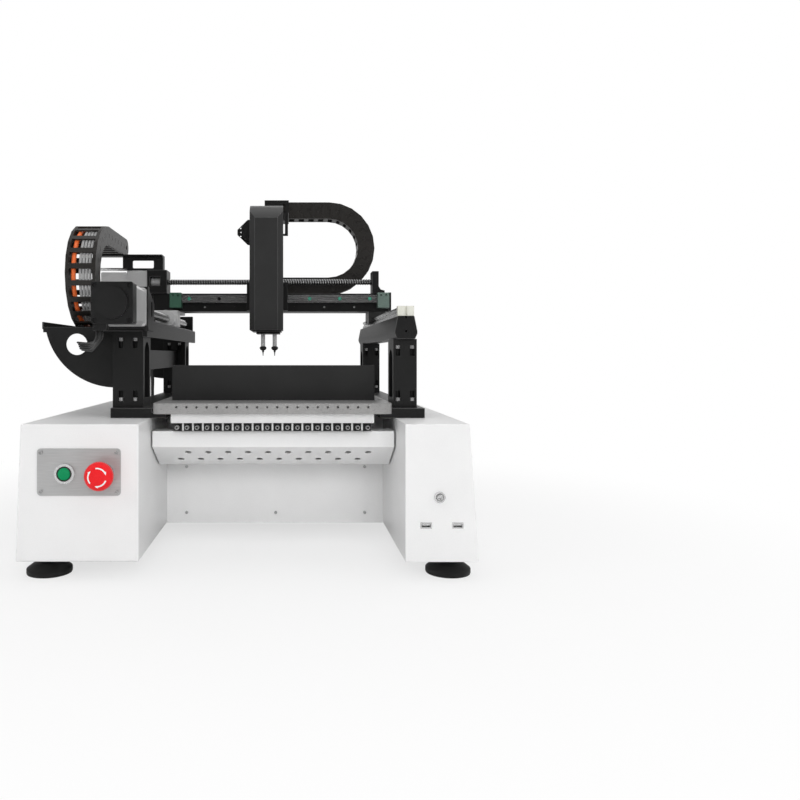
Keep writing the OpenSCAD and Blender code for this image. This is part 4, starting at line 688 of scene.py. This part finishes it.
def chainCables():
    bendLo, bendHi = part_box("y_chain_bend")
    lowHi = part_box("y_chain_lower")[1]
    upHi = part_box("y_chain_upper")[1]
    lo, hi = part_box("y_chain_cables")
    radiusOut = (hi.z - lo.z) / 2
    centreZ = (hi.z + lo.z) / 2
    centreY = lo.y + radiusOut
    middle = (bendLo.x + bendHi.x) / 2
    for name, (offset, radius, material) in cableSettings.items():
        r = radiusOut - radius * mm
        x = middle + offset * mm
        turn = np.radians(np.arange(0, 181, 5))
        bend = np.stack([np.full(len(turn), x), centreY - r * np.sin(turn), centreZ - r * np.cos(turn)], -1)
        low = np.stack([np.full(14, x), np.linspace(lowHi.y - 4 * mm, centreY, 14),
                np.full(14, centreZ - r)], -1)
        high = np.stack([np.full(18, x), np.linspace(centreY, upHi.y - 4 * mm, 18),
                np.full(18, centreZ + r)], -1)
        body = newObject(name + "CableBend", tubeMesh(name + "CableBend", bend, radius * mm), material)
        roundOff(body.data, 60)
        place(body, "y_bend", ["y_chain_cables"])
        for part, path, atFixed, fixedEnd in (("Low", low, 0.0, lowHi.y), ("High", high, 1.0, upHi.y)):
            run = newObject(name + "Cable" + part, tubeMesh(name + "Cable" + part, path, radius * mm),
                    material)
            roundOff(run.data, 60)
            followRun(run, "y_chain_cables", 1, fixedEnd, centreY, (atFixed, 0.5), ("base", "gantry"),
                    ["y_chain_cables"])


chainCables()
print("chain cables laid")


# black hex discs on the drawn heads of the lane screws, a painted shade of their sockets, and the light
# strip behind the blocks
laneSettings = {"front": -265.75, "socketShade": 1.9, "deep": 0.5, "count": 20, "pitch": 14.77}


def laneSocketShades():
    lo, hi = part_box("feeder_blocks")
    count, step, front, r, deep = (laneSettings[k] for k in ("count", "pitch", "front", "socketShade", "deep"))
    first = (lo.x + hi.x) / 2 / mm - step * (count - 1) / 2
    # each disc is solid black, standing in for the shade in a screw socket
    socketShade = [(0, front), (r, front), (r, front + deep), (0, front + deep)]
    z = (lo.z + hi.z) / 2
    socketShades = [lathe("socketShade", socketShade, ((first + step * i) * mm, 0, z), segments=6) for i in range(count)]
    mesh = joinMeshes("laneSocketShades", socketShades)
    place(newObject("laneSocketShades", mesh, blackAnodised), "base", [])
    backing = slabMesh("laneBacking", boxOutline(lo.x / mm + 0.5, hi.x / mm - 0.5, lo.z / mm + 0.5,
            hi.z / mm - 0.4),
                       lo.y / mm + 1.2, lo.y / mm + 2.2)
    place(newObject("laneBacking", backing, feederAlu), "base", [])


laneSocketShades()


# rail plugs, black rings at the open rail holes as painted shade, and small screws along the beam, at
# places across the machine in mm
beamSettings = {"plugs": (-140.4, 99.6, 159.6, 219.6), "holeShades": (-80.4, 39.6),
        "screws": (-110.4, 129.6, 189.6),
                "screwRise": 9}


def beamDetails():
    lo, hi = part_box("x_rail")
    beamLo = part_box("x_beam")[0]
    front, z = lo.y / mm, (lo.z + hi.z) / 2
    plug = [(0, front - 0.25), (3.2, front - 0.25), (3.5, front), (3.5, front + 0.6), (0, front + 0.6)]
    mesh = joinMeshes("railPlugs", [lathe("plug", plug, (x * mm, 0, z),
            segments=20) for x in beamSettings["plugs"]])
    roundOff(mesh)
    place(newObject("railPlugs", mesh, railPlug), "gantry", [])
    # black rings over the open rail holes: painted shade in the counterbores
    ring = [(1.8, front - 0.2), (3.4, front - 0.2), (3.5, front), (3.5, front + 0.4), (1.8, front + 0.4),
            (1.8, front - 0.2)]
    mesh = joinMeshes("railHoleShades", [lathe("ring", ring, (x * mm, 0, z),
            segments=20) for x in beamSettings["holeShades"]])
    roundOff(mesh)
    place(newObject("railHoleShades", mesh, blackAnodised), "gantry", [])
    face = beamLo.y / mm
    head = [(0, face - 0.3), (1.9, face - 0.3), (2.1, face - 0.1), (2.1, face + 0.4), (0, face + 0.4)]
    low = beamLo.z + beamSettings["screwRise"] * mm
    mesh = joinMeshes("beamScrews", [lathe("head", head, (x * mm, 0, low),
            segments=14) for x in beamSettings["screws"]])
    roundOff(mesh)
    place(newObject("beamScrews", mesh, boltSteel), "gantry", [])


beamDetails()


# plate and rod behind the X motor
staySettings = {"left": -320, "right": -268, "bottom": 457, "top": 480, "front": 132, "back": 135.5,
                "rodRadius": 3, "rodAt": 134, "rodRise": 486}


def motorStay():
    left, right = staySettings["left"], staySettings["right"]
    outline = boxOutline(left, right, staySettings["bottom"], staySettings["top"], 1.5)
    plate = slabMesh("stayPlate", outline, staySettings["front"], staySettings["back"], "xz")
    place(newObject("stayPlate", plate, brightAlu), "gantry", [])
    r, start, end = staySettings["rodRadius"], left - 2, right + 1
    profile = [(0, start), (r - 0.4, start), (r, start + 1), (r, end), (0, end)]
    rod = lathe("stayRod", profile, (0, staySettings["rodAt"] * mm, staySettings["rodRise"] * mm), "x", 20)
    roundOff(rod)
    place(newObject("stayRod", rod, screwSteel), "gantry", [])


motorStay()
print("lane, rail and stay details made")


# emergency stop: mushroom with a knurled rim and three turning arrows
def emergencyStop():
    lo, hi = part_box("estop_head")
    cx, cz = (lo.x + hi.x) / 2, (lo.z + hi.z) / 2
    front = lo.y / mm
    big = (hi.x - lo.x) / 2 / mm
    dome = [(0, 0.0), (6, 0.05), (11, 0.35), (13.6, 1.0), (15.4, 1.9), (17, 3.1), (18.4, 4.8),
            (19.3, 6.6), (19.6, 8.6),
            (19.6, 12.2), (18.8, 13.6), (13, 17), (12, 21.5), (0, 21.5)]
    profile = [(r * big / 20, front + y) for r, y in dome]
    rim = lambda radius, angle: 1 - 0.018 * (radius > 0.9 * big) * (np.abs(np.sin(angle * 24)) > 0.75)
    mesh = lathe("stopMushroom", profile, (cx, 0, cz), segments=192, ripple=rim)
    roundOff(mesh, 50)
    place(newObject("stopMushroom", mesh, redPlastic), bodyOf("estop_head"), ["estop_head"])
    arrows = []
    for turn in (100, 220, 340):
        # an arc band whose width grows to an arrowhead and shrinks to its tip
        t = np.linspace(0, 1, 26)
        angle = np.radians(turn - 84 * t)
        half = np.where(t < 0.8, 0.95, np.clip((1 - t) / 0.2, 0.02, 1) * 2.1)
        radius = 12.2 * big / 20
        rows = []
        for side, lift in ((-1, 0), (1, 0), (1, 0.35), (-1, 0.35)):
            r = (radius + side * half) * mm
            y = np.full(len(t), (front + 0.75 - lift) * mm)
            rows.append(np.stack([cx + r * np.cos(angle), y, cz + r * np.sin(angle)], -1))
        arrows.append(gridMesh("arrow", np.stack(rows, 1)))
    mesh = joinMeshes("stopArrows", arrows)
    roundOff(mesh)
    place(newObject("stopArrows", mesh, signWhite), bodyOf("estop_head"))


emergencyStop()


def startButton():
    lo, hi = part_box("start_cap")
    cx, cz = (lo.x + hi.x) / 2, (lo.z + hi.z) / 2
    front, r = lo.y / mm, (hi.x - lo.x) / 2 / mm
    profile = [(0, front + 0.35), (0.7 * r, front + 0.2), (0.86 * r, front), (0.95 * r, front + 0.5),
            (r, front + 1.4),
               (r, front + 9), (5, front + 9), (5, front + 16), (0, front + 16)]
    mesh = lathe("startLens", profile, (cx, 0, cz), segments=48)
    roundOff(mesh, 40)
    place(newObject("startLens", mesh, greenPlastic), bodyOf("start_cap"), ["start_cap"])


startButton()


def startRing():
    # dark ring about the lens, on the bezel
    lo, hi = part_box("start_cap")
    cx, cz = (lo.x + hi.x) / 2, (lo.z + hi.z) / 2
    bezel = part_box("button_bezels")[0].y / mm
    r = (hi.x - lo.x) / 2 / mm
    ring = [(r + 0.15, bezel + 0.6), (r + 0.15, bezel - 0.15), (r + 1.5, bezel - 0.15),
            (r + 1.5, bezel + 0.6)]
    mesh = lathe("startRing", ring + ring[:1], (cx, 0, cz), segments=48)
    roundOff(mesh)
    place(newObject("startRing", mesh, mouldedBlack), "base", [])


startRing()


def feet():
    lo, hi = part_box("levelling_feet")
    r = 32
    profile = [(0, 0), (r - 2.4, 0), (r - 0.6, 0.6), (r, 2.2), (r, 7.2), (r - 0.5, 8.3), (r - 2.2, 9.6),
            (r - 6, 12.4),
               (r - 10.6, 15.4), (r - 11.8, 15.9), (13, 16.3), (12.2, 17.2), (12.2, 20.5), (11, 21),
                       (11, 27.3), (5.2, 27.3),
               (5.2, 36.3), (0, 36.3)]
    spots = [(x, y) for x in (lo.x + r * mm, hi.x - r * mm) for y in (lo.y + r * mm, hi.y - r * mm)]
    mesh = joinMeshes("levellingFeet", [lathe("foot", profile, (x, y, 0), "z", 64) for x, y in spots])
    roundOff(mesh, 30)
    place(newObject("levellingFeet", mesh, footRubber), "base", ["levelling_feet"])


feet()


def spindles():
    for side in ("left", "right"):
        node = "spindle_" + side
        lo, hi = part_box(node)
        at = ((lo.x + hi.x) / 2, (lo.y + hi.y) / 2, 0)
        z, top = lo.z / mm, hi.z / mm
        shaft = [(0, z + 17.5), (3.2, z + 17.5), (4, z + 18.2), (4, z + 27), (3.75, z + 27.3),
                (3.75, z + 28.4),
                 (4, z + 28.7), (4, z + 44), (3.8, z + 44.2), (3.8, z + 45), (4, z + 45.2),
                         (4, top - 0.6), (3.5, top), (0, top)]
        holder = [(0, z + 7), (1.9, z + 7), (2.1, z + 10), (4.2, z + 10.8), (6.1, z + 12.8),
                (6.35, z + 13.4),
                  (6.35, z + 16), (5.6, z + 16.8), (4.4, z + 17.6), (0, z + 17.6)]
        needle = [(0, z), (0.7, z), (0.8, z + 2), (1.15, z + 6.4), (1.6, z + 7.2), (0, z + 7.2)]
        for part, profile, material in (("Shaft", shaft, brightAlu), ("Holder", holder, mouldedBlack),
                ("Needle", needle, darkBolt)):
            mesh = lathe(node + part, profile, at, "z", 28)
            roundOff(mesh, 30)
            place(newObject(node + part, mesh, material), bodyOf(node), [node])


spindles()


# motor lead: a fan of thin black wires on the lead's own route
def motorLead():
    lo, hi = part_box("y_motor_lead")
    motorLo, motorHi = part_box("y_motor")
    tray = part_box("chain_tray")[0]
    plug = Vector((hi.x - 3.5 * mm, motorLo.y + 13 * mm, motorLo.z - 0.1 * mm))
    eye = Vector((-262 * mm, tray.y + 1.5 * mm, 326 * mm))
    drop = Vector(((lo.x + hi.x) / 2, hi.y, lo.z))
    offsets = [(-5, 0, 6), (-2.5, 2, 3), (0, 0, 0), (3, -2, -3), (6, 1, -5)]
    wires = []
    for number, (dx, dy, dz) in enumerate(offsets):
        near = Vector((dx, dy, 0)) * mm * 0.7
        wide = Vector((dx * 0.6, dy, dz)) * mm
        route = [plug + near, plug + near + Vector((0, 0, -8 * mm)),
                plug + Vector((-6, 10, -15)) * mm + near,
                 plug + Vector((-18, 34, -20)) * mm + wide * 0.7, plug + Vector((-34, 72, -22)) * mm + wide,
                 eye + Vector((7, -48, 0)) * mm + wide, eye + wide * 0.9,
                         eye + Vector((-4, 50, 2)) * mm + wide * 0.6]
        close = Vector((dx * 0.5, 0, dz * 0.5)) * mm
        route += [eye + Vector((-4, 145, 4)) * mm + close,
                Vector((-266 * mm, drop.y - 150 * mm, 330 * mm)) + close,
                  Vector((-264 * mm, drop.y - 56 * mm, 326 * mm)) + close,
                          drop + Vector((-4, -18, 88)) * mm + close,
                  drop + Vector((dx * 0.5, -3 + dz * 0.4, 52)) * mm,
                          drop + Vector((dx * 0.4, dz * 0.3, 20)) * mm,
                  drop + Vector((dx * 0.4, dz * 0.3, 0)) * mm]
        wires.append(tubeMesh("wire", smoothPath([list(p) for p in route], 8), 1.5 * mm, 8))
    mesh = joinMeshes("leadFan", wires)
    roundOff(mesh, 60)
    place(newObject("leadFan", mesh, leadSheath), "base", ["y_motor_lead"])


motorLead()
paint("fasteners", boltSteel)
print("controls, feet, spindles and lead made")

missing = [name for name, obj in nodes.items() if not obj.hide_render and not obj.data.materials]
print("nodes without a finish:", missing)
